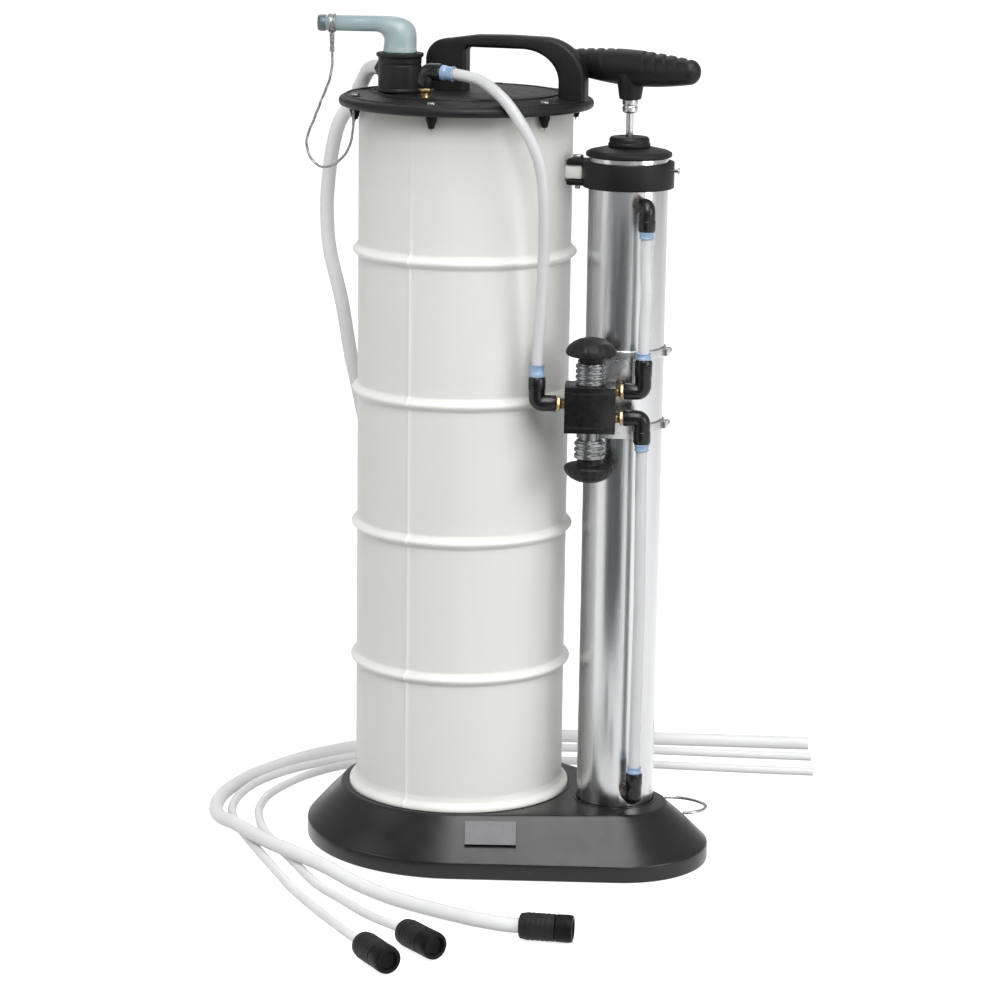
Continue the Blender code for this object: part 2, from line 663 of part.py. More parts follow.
def build_valve(black, chrome):
    x, y, z = VALVE
    wide, deep, high = (size / 2 for size in VALVE_SIZE)
    body = add_object(
        "valve_body",
        prism_mesh(box_outline(-wide, wide, -deep, deep), -high, high),
        black,
        at=(x, y, z),
    )
    soften(body, 0.0016, 2)
    bore = rod_mesh((x, y, z - 0.05), (x, y, z + 0.05), SPOOL_RADIUS + 0.0003, 20)
    combine(body, "DIFFERENCE", helper("valve_bore", bore))
    for i, (port, outward) in enumerate(VALVE_PORTS):
        inside = Vector(port) - Vector(outward) * 0.009
        hole = rod_mesh(inside, Vector(port) + Vector(outward) * 0.01, 0.0052, 14)
        combine(body, "DIFFERENCE", helper(f"valve_port_{i}", hole))
    axis = axis_empty("spool_axis", (x, y, z))
    neck = 0.0128
    spool = [(0.0, -0.0443), (neck, -0.0443), (neck, -0.0285), (SPOOL_RADIUS, -0.0285)]
    spool += [(SPOOL_RADIUS, 0.0208), (neck, 0.0208), (neck, 0.0396), (0.0, 0.0396)]
    add_object("valve_spool", turned_mesh(spool, 22), chrome, (x, y, z), parent=axis)
    dome = [(0.0, 0.0), (0.0105, 0.0), (0.0105, 0.0055), (0.0205, 0.0060), (0.0222, 0.0085)]
    dome += [(0.0215, 0.0120), (0.0175, 0.0170), (0.0105, 0.0205), (0.0, 0.0220)]
    upper = turned_mesh(dome, 24)
    add_object("valve_knob_upper", upper, black, (x, y, z + 0.0399), parent=axis)
    lower = turned_mesh([(r, -h) for r, h in dome], 24)
    add_object("valve_knob_lower", lower, black, (x, y, z - 0.0446), parent=axis)


# ---- push-in elbows and their collars -------------------------------------------------------
def elbow_rings(port, corner, mouth, body, thread, thread_length):
    """A threaded end at port, a mitred corner, and a mouth for the hose."""
    port, corner, mouth = Vector(port), Vector(corner), Vector(mouth)
    inward = (corner - port).normalized()
    onward = (mouth - corner).normalized()
    normal = inward.cross(onward).normalized()
    mitre = (inward - onward).normalized() * body / math.cos(math.pi / 4)
    step = port + inward * thread_length
    first = normal.cross(inward)
    last = normal.cross(onward)
    diagonal = mitre if mitre.dot(first) > 0 else -mitre
    rings = []
    for spot, radius in ((port, thread), (step, thread), (step, body), (step + inward * 0.001, body)):
        rings.append(ellipse(spot, first * radius, normal * radius, 14))
    rings.append(ellipse(corner, diagonal, normal * body, 14))
    side = last if last.dot(diagonal) > 0 else -last
    bore = AIR_LINE / 2 + 0.0004
    for spot, radius in ((mouth, body), (mouth, bore), (mouth - onward * 0.004, bore)):
        rings.append(ellipse(spot, side * radius, normal * radius, 14))
    return rings


def build_elbow(name, port, corner, mouth, surface, thread_length=0.010, body=0.0072):
    rings = elbow_rings(port, corner, mouth, body, 0.0048, thread_length)
    add_object(name, loft_mesh(rings), surface)


def build_collar(name, mouth, way, length, surface):
    """The ring that is pressed in to free the hose; it stands on the elbow's mouth."""
    inner = AIR_LINE / 2 + 0.0004
    outline = [(inner, GAP), (0.0066, GAP), (0.0066, length * 0.6), (0.0060, length), (inner, length)]
    made = add_object(name, turned_mesh(outline, 12, ring=True), surface, at=mouth)
    made.rotation_euler = Vector(way).to_track_quat("Z", "Y").to_euler()


def build_fittings(black, blue):
    for name, port, corner, mouth, thread_length, collar_length in ELBOWS:
        build_elbow(f"elbow_{name}", port, corner, mouth, black, thread_length)
        way = (Vector(mouth) - Vector(corner)).normalized()
        build_collar(f"collar_{name}", mouth, way, collar_length, blue)


def build_air_lines(clear):
    lid_mouth, valve_mouth = Vector(LID_ELBOW[3]), Vector(TANK_SIDE_ELBOW[3])
    onward = (lid_mouth - Vector(LID_ELBOW[2])).normalized()
    route = [lid_mouth - onward * 0.0036, lid_mouth + onward * 0.014]
    route += [(0.0145, -0.0825, 0.7020), (0.0285, -0.0960, 0.6950), (0.0408, -0.1070, 0.6850)]
    route += [(0.0517, -0.1145, 0.6712), (0.0615, -0.1180, 0.6555), (0.0685, -0.1190, 0.6395)]
    route += [(0.0727, -0.1175, 0.6200), (0.0745, -0.1125, 0.5880), (0.0742, -0.1060, 0.5480)]
    route += [(0.0722, -0.0990, 0.5030), valve_mouth + Vector((0, 0, 0.020))]
    route += [valve_mouth - Vector((0, 0, 0.0036))]
    hose("vacuum_line", route, AIR_LINE, clear, 2.2)
    for name, low, high in AIR_RUNS:
        low, high = Vector(low), Vector(high)
        route = [low - Vector((0, 0, 0.0036)), low + Vector((0, 0, 0.03))]
        middle = (low + high) / 2
        route += [middle, high - Vector((0, 0, 0.03)), high + Vector((0, 0, 0.0036))]
        hose(name, route, AIR_LINE, clear, 2.5)


# ---- suction hose and loose tubes -----------------------------------------------------------
def build_suction_hose(clear, rubber):
    start = Vector((*SOCKET, 0.7030)) + HOSE_PORT_WAY * (0.0375 + GAP)
    route = [start, start + HOSE_PORT_WAY * 0.0060, (-0.0835, 0.0235, 0.7022), (-0.0900, 0.0400, 0.6985), (-0.0955, 0.0600, 0.6905)]
    route += [(-0.1020, 0.0740, 0.6780), (-0.1085, 0.0830, 0.6640), (-0.1205, 0.0870, 0.6475)]
    route += [(-0.1278, 0.0880, 0.6200), (-0.1318, 0.0890, 0.5860), (-0.1326, 0.0900, 0.5610)]
    route += [(-0.1298, 0.0900, 0.5276), (-0.1185, 0.0910, 0.4784), (-0.1109, 0.0930, 0.4316)]
    route += [(-0.1033, 0.0990, 0.3930), (-0.0930, 0.1220, 0.3250), (-0.0850, 0.1620, 0.2400)]
    route += [(-0.0790, 0.2180, 0.1550), (-0.0755, 0.2800, 0.0900), (-0.0735, 0.3350, 0.0480)]
    route += [(-0.0712, 0.3850, 0.0212)]
    hose("suction_hose", route, SUCTION_HOSE, clear, 3.0)
    ring = [(COIL_INNER, 0.0002), (COIL_OUTER, 0.0002), (COIL_OUTER, 0.0134), (COIL_INNER, 0.0134)]
    add_object("suction_coil", turned_mesh(ring, 32, ring=True), clear, at=(*COIL_CENTRE, 0.0))
    build_connector("suction_connector", (0.0120, 0.3070), (-0.0340, 0.3070), rubber)


def build_connector(name, tail, nose, rubber):
    """A soft round coupling that lies on the floor, with a shallow mouth at its nose."""
    height = CONNECTOR_RADIUS + GAP
    tail, nose = Vector((*tail, height)), Vector((*nose, height))
    length = (nose - tail).length
    wide = CONNECTOR_RADIUS
    outline = [(0.0, 0.0), (wide - 0.0030, 0.0), (wide - 0.0010, 0.0015), (wide - 0.0005, 0.012)]
    outline += [(wide, length - 0.014), (wide, length - 0.001), (wide - 0.0010, length)]
    outline += [(wide - 0.0045, length), (wide - 0.0045, length - 0.0030), (0.0, length - 0.0030)]
    made = add_object(name, turned_mesh(outline, 14), rubber, at=tail)
    made.rotation_euler = (nose - tail).to_track_quat("Z", "Y").to_euler()


def build_loose_tubes(clear, rubber):
    for name, diameter, points, tail, nose in LOOSE_TUBES:
        way = (Vector(nose) - Vector(tail)).normalized()
        radius = diameter / 2
        end = Vector(tail) - way * 2 * GAP
        route = [(x, y, radius + GAP + sum(lift)) for x, y, *lift in points]
        for back in (0.008, 0.0):
            route.append((*(end - way * back), CONNECTOR_RADIUS + GAP))
        hose(name, route, diameter, clear, 3.0 if diameter < 0.01 else 2.6)
        build_connector(f"{name}_connector", tail, nose, rubber)


def build_hook(steel):
    """A wire loop at the back of the base that keeps spare tubes together."""
    route = [(0.2080, -0.0235, 0.0312), (0.2180, -0.0205, 0.0308), (0.2262, -0.0120, 0.0305)]
    route += [(0.2290, 0.0010, 0.0300), (0.2240, 0.0115, 0.0300), (0.2150, 0.0195, 0.0300)]
    route += [(0.2040, 0.0240, 0.0300), (0.1920, 0.0245, 0.0300), (0.1810, 0.0215, 0.0300)]
    route += [(0.1740, 0.0170, 0.0300)]
    hose("tube_hook", route, 0.0032, steel, 1.6)


# ---- places that several pieces share -------------------------------------------------------
HOSE_PORT_WAY = Vector((-0.49, 0.87, 0.0)).normalized()
CLIP_X = -0.1166
CLIP_END_Z = 0.7190
BAND_HEIGHTS = (0.4636, 0.3985)
CONNECTOR_RADIUS = 0.0120

VALVE_RIGHT = VALVE[0] + VALVE_SIZE[0] / 2
VALVE_LEFT = VALVE[0] - VALVE_SIZE[0] / 2
UPPER_PORT_Z = 0.4360
LOWER_PORT_Z = 0.4125
TANK_PORT_Z = 0.4240
VALVE_PORTS = (
    ((VALVE_RIGHT, VALVE[1], UPPER_PORT_Z), (1, 0, 0)),
    ((VALVE_RIGHT, VALVE[1], LOWER_PORT_Z), (1, 0, 0)),
    ((VALVE_LEFT, VALVE[1], TANK_PORT_Z), (-1, 0, 0)),
)

LINE_X = 0.1622
LINE_Y = VALVE[1]
PORT_SIDE = math.atan2(LINE_Y - PUMP_Y, LINE_X - PUMP_X)
PUMP_PORTS = ((0.5965, "top"), (0.0665, "bottom"))


def pump_port(height):
    """Where an elbow's thread ends, in the pump tube's wall."""
    spot = toward(PORT_SIDE, PUMP_BORE + 0.0007, height)
    return (PUMP_X + spot.x, PUMP_Y + spot.y, height)


LID_ELBOW = (
    "lid",
    (*VENT, 0.6790),
    (*VENT, 0.7075),
    (VENT[0] + 0.0135, VENT[1] - 0.0050, 0.7065),
    0.0135,
    0.0120,
)
TANK_SIDE_ELBOW = (
    "valve_tank",
    (VALVE_LEFT + 0.0060, VALVE[1], TANK_PORT_Z),
    (0.0700, VALVE[1], TANK_PORT_Z),
    (0.0700, VALVE[1], 0.4470),
    0.0130,
    0.0110,
)
UPPER_ELBOW = (
    "valve_upper",
    (VALVE_RIGHT - 0.0060, VALVE[1], UPPER_PORT_Z),
    (LINE_X, VALVE[1], UPPER_PORT_Z),
    (LINE_X, VALVE[1], 0.4640),
    0.0125,
    0.0060,
)
LOWER_ELBOW = (
    "valve_lower",
    (VALVE_RIGHT - 0.0060, VALVE[1], LOWER_PORT_Z),
    (LINE_X, VALVE[1], LOWER_PORT_Z),
    (LINE_X, VALVE[1], 0.3900),
    0.0125,
    0.0060,
)
TOP_ELBOW = (
    "pump_top",
    pump_port(0.5965),
    (LINE_X, LINE_Y, 0.5965),
    (LINE_X, LINE_Y, 0.5760),
    0.0060,
    0.0060,
)
BOTTOM_ELBOW = (
    "pump_bottom",
    pump_port(0.0665),
    (LINE_X, LINE_Y, 0.0665),
    (LINE_X, LINE_Y, 0.0900),
    0.0060,
    0.0060,
)
ELBOWS = (LID_ELBOW, TANK_SIDE_ELBOW, UPPER_ELBOW, LOWER_ELBOW, TOP_ELBOW, BOTTOM_ELBOW)
AIR_RUNS = (
    ("air_line_upper", UPPER_ELBOW[3], TOP_ELBOW[3]),
    ("air_line_lower", BOTTOM_ELBOW[3], LOWER_ELBOW[3]),
)

# Points on the floor, x and y; a third number lifts the tube where it crosses the thin ones.
LARGE_ROUTE = (
    (0.337, 0.287), (0.260, 0.288), (0.170, 0.289), (0.080, 0.289), (0.000, 0.282),
    (-0.065, 0.262), (-0.121, 0.229), (-0.162, 0.194), (-0.194, 0.152), (-0.214, 0.116),
    (-0.228, 0.071), (-0.230, 0.028, 0.0006), (-0.221, -0.010, 0.0036),
    (-0.203, -0.044, 0.0086), (-0.182, -0.073, 0.0087), (-0.163, -0.097, 0.0087),
    (-0.136, -0.125, 0.0087), (-0.108, -0.153, 0.0074), (-0.082, -0.177, 0.0030),
    (-0.056, -0.199, 0.0005), (-0.031, -0.2205, 0.0008), (0.000, -0.245, 0.0024),
    (0.015, -0.2575, 0.0038), (0.030, -0.2690, 0.0050), (0.050, -0.2785, 0.0055),
)
MIDDLE_ROUTE = (
    (0.338, 0.249), (0.260, 0.252), (0.170, 0.256), (0.080, 0.256), (0.005, 0.251),
    (-0.060, 0.236), (-0.112, 0.2105), (-0.152, 0.180), (-0.184, 0.146), (-0.205, 0.1075),
    (-0.2145, 0.0675), (-0.2150, 0.030), (-0.2065, -0.007), (-0.192, -0.047), (-0.1735, -0.092),
    (-0.152, -0.143), (-0.132, -0.189), (-0.1068, -0.2407, 0.0017), (-0.0937, -0.2693, 0.0042),
    (-0.0777, -0.3030, 0.0070),
)
INNER_ROUTE = (
    (0.338, 0.199), (0.260, 0.203), (0.170, 0.209), (0.080, 0.214), (0.000, 0.212),
    (-0.062, 0.203), (-0.112, 0.184), (-0.141, 0.161), (-0.165, 0.128), (-0.1845, 0.083),
    (-0.190, 0.042), (-0.187, 0.010), (-0.177, -0.031), (-0.160, -0.071), (-0.139, -0.118),
    (-0.1135, -0.1725), (-0.0863, -0.2133, 0.0007), (-0.0675, -0.2478, 0.0037),
    (-0.0536, -0.2694, 0.0058), (-0.0395, -0.2875, 0.0077),
)
LOOSE_TUBES = (
    ("tube_large", SUCTION_HOSE, LARGE_ROUTE, (0.0695, -0.2830), (0.1150, -0.2880)),
    ("tube_middle", SMALL_TUBE, MIDDLE_ROUTE, (-0.0580, -0.3370), (-0.0330, -0.3755)),
    ("tube_inner", SMALL_TUBE, INNER_ROUTE, (-0.0260, -0.3040), (0.0030, -0.3395)),
)


def main():
    clear_scene()
    black = material("black_plastic", BLACK, 0.42)
    rubber = material("rubber", RUBBER, 0.65)
    milky = material("milky_plastic", MILKY, 0.40)
    aluminium = material("aluminium", ALUMINIUM, 0.18, 1.0)
    steel = material("steel", STEEL, 0.30, 1.0)
    blue_grey = material("blue_grey_plastic", BLUE_GREY, 0.35)
    blue = material("blue_plastic", BLUE, 0.40)
    clear = material("clear_tube", CLEAR, 0.20, 0.0, 0.6)
    plate = material("plate", (0.10, 0.10, 0.11), 0.45)
    build_base(black, rubber, plate)
    build_tank(milky, rubber)
    build_lid(black, steel)
    build_handle(black)
    build_socket(black)
    build_spout(blue_grey, rubber, steel)
    build_lanyard(steel)
    build_float(black, milky)
    build_pump_tube(aluminium, black)
    build_piston(black, rubber, steel, black)
    build_clamp(black, steel)
    build_bracket(steel)
    build_valve(black, steel)
    build_fittings(black, blue)
    build_air_lines(clear)
    build_suction_hose(clear, rubber)
    build_loose_tubes(clear, rubber)
    build_hook(steel)


main()
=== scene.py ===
"""The fluid transfer pump's looks: fine surfaces, materials, hoses, studio light and camera."""

from math import acos, atan2, cos, exp, floor, hypot, pi, radians, sin, sqrt

import bmesh
import bpy
from mathutils import Matrix, Vector


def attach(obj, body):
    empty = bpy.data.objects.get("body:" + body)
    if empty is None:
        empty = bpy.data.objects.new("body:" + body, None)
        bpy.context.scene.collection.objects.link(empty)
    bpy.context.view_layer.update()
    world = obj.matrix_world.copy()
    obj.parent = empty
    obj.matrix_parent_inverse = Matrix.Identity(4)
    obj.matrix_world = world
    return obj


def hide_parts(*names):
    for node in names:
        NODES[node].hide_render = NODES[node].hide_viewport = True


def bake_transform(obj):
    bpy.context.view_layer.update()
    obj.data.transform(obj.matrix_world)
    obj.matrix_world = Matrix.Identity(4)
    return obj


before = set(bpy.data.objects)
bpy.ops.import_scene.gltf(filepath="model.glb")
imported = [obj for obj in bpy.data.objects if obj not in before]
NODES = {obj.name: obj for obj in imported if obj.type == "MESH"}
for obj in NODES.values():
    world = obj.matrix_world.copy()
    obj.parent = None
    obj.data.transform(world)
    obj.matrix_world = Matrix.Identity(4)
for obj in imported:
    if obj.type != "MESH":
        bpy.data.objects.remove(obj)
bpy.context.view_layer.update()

ORIGIN = (0, 0, 0)
WHITE = (1.0, 1.0, 1.0)
UP = Vector((0, 0, 1))
GAP = 0.0003  # between pieces that touch
TANK_RADIUS = 0.095
TANK_TOP = 0.675
FOOT_RADIUS = 0.101
RIB_HEIGHTS = (0.1713, 0.2961, 0.4193, 0.5443)
BASE_HEIGHT = 0.05
BASE_RIM = 0.0165
RIM = ((0, 0, 0.1395), (0.149, -0.056, 0.081))
TOP = ((0, 0, 0.1075), (0.1445, -0.0495, 0.047))
LID_TOP = 0.6855
SCREW_ANGLES = (-104, -44, 16, 76, 136, 196)
SCREW_CIRCLE = 0.1
PUMP = Vector((0.145, -0.0388, 0))
PUMP_RADIUS = 0.0348
PUMP_SIDE = atan2(PUMP.y, PUMP.x)
BAND_SIDE, BAND_ACROSS = radians(-12.0), radians(78.0)
CLAMP_REACH = 0.104
BOLT_HOLE = 0.0029
GRIP_TURN = radians(-43.0)
SOCKET = Vector((-0.057, -0.026, 0))
SPOUT_ARM_Z = 0.7441
CLIP_X = -0.1166
VALVE = Vector((0.1166, -0.095, 0.421))
VENT = (-0.031, -0.065)
HOSE_PORT_WAY = Vector((-0.49, 0.87, 0)).normalized()
AIR_LINE = 0.01
PORT_RADIUS = 0.0052
PLUGGED = 0.0036  # how far an air line goes into its fitting
SUCTION_HOSE = 0.013
SMALL_TUBE = 0.008
CONNECTOR_Z = 0.0123


def add(name, data):
    """A new object in the scene."""
    made = bpy.data.objects.new(name, data)
    bpy.context.scene.collection.objects.link(made)
    return made


# ---- camera ----
def build_camera():
    yaw, pitch, roll = radians(2.7), radians(12.62), radians(0.81)
    right = Vector((cos(yaw), sin(yaw), 0))
    ahead = Vector((
        -sin(yaw) * cos(pitch), cos(yaw) * cos(pitch), -sin(pitch),
    ))
    up = Vector((
        -sin(yaw) * sin(pitch), cos(yaw) * sin(pitch), cos(pitch),
    ))
    across = right * cos(roll) + up * sin(roll)
    upward = up * cos(roll) - right * sin(roll)
    camera = add("camera", bpy.data.cameras.new("camera"))
    camera.data.sensor_width = 36.0
    camera.data.lens = 115.45
    camera.data.clip_end = 60.0
    turn = Matrix((across, upward, -ahead)).transposed().to_4x4()
    camera.matrix_world = Matrix.Translation((0.1685, -2.837, 0.9512)) @ turn
    bpy.context.scene.camera = camera


# ---- materials ----
MIX_COLOUR_A, MIX_COLOUR_B, MIX_COLOUR_RESULT = 6, 7, 2
# painted shade under the lid: the heights over which the tank darkens, and how dark each step is
LID_SHADOW_SPAN = (0.6, 0.69)
LID_SHADOW_STEPS = ((0, 1.0), (0.27, 0.96), (0.5, 0.88), (0.66, 0.68), (0.8, 0.48))


def paint_lid_shadow(made):
    """Painted shade: darkens the tank's wall toward its mouth, standing in for the lid's shadow and for
    the dark lid skirt seen through the wall.
    """
    tree = made.node_tree
    shader = tree.nodes["Principled BSDF"]
    colour = shader.inputs["Base Color"].links[0].from_socket
    place = tree.nodes.new("ShaderNodeTexCoord")
    split = tree.nodes.new("ShaderNodeSeparateXYZ")
    tree.links.new(place.outputs["Object"], split.inputs["Vector"])
    shade = tree.nodes.new("ShaderNodeValToRGB")
    while len(shade.color_ramp.elements) < len(LID_SHADOW_STEPS):
        shade.color_ramp.elements.new(0.5)
    for element, (position, value) in zip(shade.color_ramp.elements, LID_SHADOW_STEPS):
        element.position = position
        element.color = (value, value, value, 1.0)
    tree.links.new(spread(tree, split.outputs["Z"], 0, 1.0, *LID_SHADOW_SPAN), shade.inputs["Fac"])
    mix = tree.nodes.new("ShaderNodeMix")
    mix.data_type = "RGBA"
    mix.blend_type = "MULTIPLY"
    mix.inputs["Factor"].default_value = 1.0
    tree.links.new(colour, mix.inputs[MIX_COLOUR_A])
    tree.links.new(shade.outputs["Color"], mix.inputs[MIX_COLOUR_B])
    tree.links.new(mix.outputs[MIX_COLOUR_RESULT], shader.inputs["Base Color"])


def noise(tree, vector, scale, detail=3.0):
    made = tree.nodes.new("ShaderNodeTexNoise")
    made.inputs["Scale"].default_value = scale
    made.inputs["Detail"].default_value = detail
    tree.links.new(vector, made.inputs["Vector"])
    return made.outputs["Fac"]


def spread(tree, value, low, high, start=0.3, end=0.7):
    made = tree.nodes.new("ShaderNodeMapRange")
    made.inputs["From Min"].default_value = start
    made.inputs["From Max"].default_value = end
    made.inputs["To Min"].default_value = low
    made.inputs["To Max"].default_value = high
    tree.links.new(value, made.inputs["Value"])
    return made.outputs["Result"]


SLOTS = {}


def surface(name, slot, dark, light, rough, patch, grain, height, stretch=(1.0, 1.0, 1.0), **sockets):
    """A material whose colour, roughness and fine relief vary over the surface.

    patch and grain are noise scales, for the colour and for the relief. height is the relief's depth.
    SLOTS keeps the slot of each material, by its name.
    """
    made = bpy.data.materials.new(name)
    SLOTS[made.name] = slot
    made.use_nodes = True
    tree = made.node_tree
    shader = tree.nodes["Principled BSDF"]
    place = tree.nodes.new("ShaderNodeTexCoord")
    mapping = tree.nodes.new("ShaderNodeMapping")
    mapping.inputs["Scale"].default_value = stretch
    tree.links.new(place.outputs["Object"], mapping.inputs["Vector"])
    vector = mapping.outputs["Vector"]
    ramp = tree.nodes.new("ShaderNodeValToRGB")
    ramp.color_ramp.elements[0].position = 0.32
    ramp.color_ramp.elements[0].color = (*dark, 1.0)
    ramp.color_ramp.elements[1].position = 0.68
    ramp.color_ramp.elements[1].color = (*light, 1.0)
    tree.links.new(noise(tree, vector, patch, 5.0), ramp.inputs["Fac"])
    tree.links.new(ramp.outputs["Color"], shader.inputs["Base Color"])
    tree.links.new(spread(tree, noise(tree, vector, patch * 4.0), *rough), shader.inputs["Roughness"])
    bump = tree.nodes.new("ShaderNodeBump")
    bump.inputs["Strength"].default_value = 0.6
    bump.inputs["Distance"].default_value = height
    tree.links.new(noise(tree, vector, grain, 2.0), bump.inputs["Height"])
    tree.links.new(bump.outputs["Normal"], shader.inputs["Normal"])
    for socket, value in sockets.items():
        shader.inputs[socket.replace("_", " ")].default_value = value
    return made


SATIN = surface(
    "black_satin", "black_plastic", (0.004, 0.004, 0.0042), (0.009, 0.009, 0.0094),
    (0.42, 0.56), 22.0, 1100.0, 0.0001, Specular_IOR_Level=0.2,
)
BASE_SATIN = surface(
    "base_satin", "black_plastic", (0.005, 0.005, 0.0053), (0.0095, 0.0095, 0.01),
    (0.27, 0.34), 14.0, 600.0, 0.00005, Specular_IOR_Level=0.35,
)
GLOSS = surface(
    "black_gloss", "black_plastic", (0.004, 0.004, 0.0045), (0.008, 0.008, 0.0085),
    (0.22, 0.34), 40.0, 600.0, 0.00002, Specular_IOR_Level=0.3,
)
RUBBER = surface(
    "rubber", "rubber", (0.005, 0.005, 0.005), (0.0125, 0.0122, 0.0118),
    (0.5, 0.68), 90.0, 1800.0, 0.00014, Specular_IOR_Level=0.22,
)
DARK_RUBBER = surface(
    "dark_rubber", "rubber", (0.002, 0.002, 0.002), (0.005, 0.005, 0.005),
    (0.4, 0.58), 90.0, 1800.0, 0.0001, Specular_IOR_Level=0.12,
)
MILKY = surface(
    "milky_plastic", "milky_plastic", (0.706, 0.711, 0.662), (0.748, 0.751, 0.708),
    (0.36, 0.5), 5.0, 260.0, 0.0001, (1.0, 1.0, 0.35),
    Subsurface_Weight=0.6, Subsurface_Radius=(1.0, 1.0, 1.0),
    Subsurface_Scale=0.014, Specular_IOR_Level=0.38,
)
# paints the lid's shadow into the tank's colour
paint_lid_shadow(MILKY)
ALUMINIUM = surface(
    "polished_aluminium", "aluminium", (0.43, 0.437, 0.444), (0.57, 0.575, 0.58),
    (0.17, 0.31), 34.0, 420.0, 0.00003, (1.0, 1.0, 0.035), Metallic=1.0,
)
STEEL = surface(
    "plated_steel", "steel", (0.4, 0.405, 0.41), (0.52, 0.525, 0.53),
    (0.24, 0.32), 40.0, 500.0, 0.000006, Metallic=1.0,
)
DARK_STEEL = surface(
    "dark_steel", "steel", (0.15, 0.152, 0.157), (0.31, 0.314, 0.322),
    (0.22, 0.34), 70.0, 500.0, 0.000006, Metallic=0.9,
)
BRASS = surface(
    "brass", "steel", (0.27, 0.19, 0.1), (0.43, 0.32, 0.175),
    (0.24, 0.4), 160.0, 1600.0, 0.00003, Metallic=1.0,
)
BLUE_GREY = surface(
    "blue_grey_plastic", "blue_grey_plastic", (0.25, 0.33, 0.345), (0.35, 0.43, 0.445),
    (0.3, 0.38), 12.0, 400.0, 0.00003, Transmission_Weight=0.22, IOR=1.4,
)
# Painted shade: the spout's mouth ring is coloured dark, standing in for the shade at the spout's
# opening.
MOUTH_SHADE_TEAL = surface(
    "painted_shade_teal", "blue_grey_plastic", (0.055, 0.08, 0.085), (0.1, 0.13, 0.135),
    (0.24, 0.38), 60.0, 900.0, 0.00005,
)
BLUE = surface(
    "blue_plastic", "blue_plastic", (0.17, 0.265, 0.41), (0.27, 0.375, 0.52),
    (0.26, 0.38), 120.0, 1500.0, 0.00004, Subsurface_Weight=0.1, Subsurface_Scale=0.002,
)
CLEAR = surface(
    "clear_tube", "clear_tube", (0.77, 0.774, 0.777), (0.83, 0.833, 0.835),
    (0.34, 0.46), 16.0, 400.0, 0.00003, Transmission_Weight=0.16, IOR=1.38, Specular_IOR_Level=0.35,
)
AIR_TUBE = surface(
    "air_tube", "clear_tube", (0.64, 0.65, 0.656), (0.71, 0.718, 0.722),
    (0.3, 0.42), 16.0, 400.0, 0.00003, Transmission_Weight=0.32, IOR=1.38, Specular_IOR_Level=0.35,
)
PLATE = surface(
    "blank_plate", "black_plastic", (0.046, 0.046, 0.052), (0.066, 0.066, 0.073),
    (0.3, 0.4), 60.0, 1400.0, 0.00005, Specular_IOR_Level=0.5,
)
CABLE = surface(
    "cable", "steel", (0.11, 0.113, 0.118), (0.29, 0.294, 0.3),
    (0.3, 0.5), 420.0, 2400.0, 0.00008, Metallic=0.6,
)


# ---- meshes ----
def mesh_from(build, sharp=38.0):
    bm = bmesh.new()
    build(bm)
    bmesh.ops.recalc_face_normals(bm, faces=bm.faces)
    mesh = bpy.data.meshes.new("piece")
    bm.to_mesh(mesh)
    bm.free()
    mesh.shade_smooth()
    mesh.set_sharp_from_angle(angle=radians(sharp))
    return mesh


def bridge(bm, lower, upper):
    count = max(len(lower), len(upper))
    for i in range(count):
        j = (i + 1) % count
        corners = [lower[i % len(lower)], lower[j % len(lower)]]
        corners += [upper[j % len(upper)], upper[i % len(upper)]]
        corners = list(dict.fromkeys(corners))
        if len(corners) > 2:
            bm.faces.new(corners)


def fillet(points, radius, closed=False, steps=3):
    """Rounds the corners of a line of (x, y) points."""
    points = [Vector(p) for p in points]
    rounded = []
    for i, corner in enumerate(points):
        if not closed and i in (0, len(points) - 1):
            rounded.append(corner)
            continue
        before, after = points[i - 1] - corner, points[(i + 1) % len(points)] - corner
        reach = min(radius, 0.45 * before.length, 0.45 * after.length)
        start = corner + before.normalized() * reach
        end = corner + after.normalized() * reach
        for k in range(steps + 1):
            t = k / steps
            rounded.append(start * (1 - t) ** 2 + corner * 2 * t * (1 - t) + end * t * t)
    return [tuple(p) for p in rounded]


def turned(profile, segments=72, ring=False, radius=0.0006, shape=None):
    """Turns (radius, height) points about Z; shape(angle, radius, height) may change a radius."""
    profile = fillet(profile, radius, ring) if radius else list(profile)
    angles = [2 * pi * i / segments for i in range(segments)]

    def build(bm):
        rings = []
        for r, z in profile:
            spots = angles if r > 1e-6 else [0]
            sizes = [shape(a, r, z) if shape and r > 1e-6 else r for a in spots]
            spun = [(s * cos(a), s * sin(a), z) for s, a in zip(sizes, spots)]
            rings.append([bm.verts.new(spot) for spot in spun])
        for lower, upper in zip(rings, rings[1:]):
            bridge(bm, lower, upper)
        if ring:
            bridge(bm, rings[-1], rings[0])

    return mesh_from(build)


def disc(radius, low, high, sides):
    """A plain round or many-sided disc between two heights."""
    return turned([(0, low), (radius, low), (radius, high), (0, high)], sides, radius=0)


def loft(rings, closed=False, sharp=38.0):
    def build(bm):
        made = [[bm.verts.new(p) for p in ring] for ring in rings]
        for lower, upper in zip(made, made[1:]):
            bridge(bm, lower, upper)
        if closed:
            bridge(bm, made[-1], made[0])
        else:
            bm.faces.new(list(reversed(made[0])))
            bm.faces.new(made[-1])

    return mesh_from(build, sharp)


def ellipse(centre, across, up, count=24):
    centre, across, up = Vector(centre), Vector(across), Vector(up)
    angles = [2 * pi * i / count for i in range(count)]
    return [centre + across * cos(a) + up * sin(a) for a in angles]


def prism(outline, low, high):
    return loft([[(x, y, z) for x, y in outline] for z in (low, high)])


def box(x0, x1, y0, y1, z0, z1):
    return prism([(x0, y0), (x1, y0), (x1, y1), (x0, y1)], z0, z1)


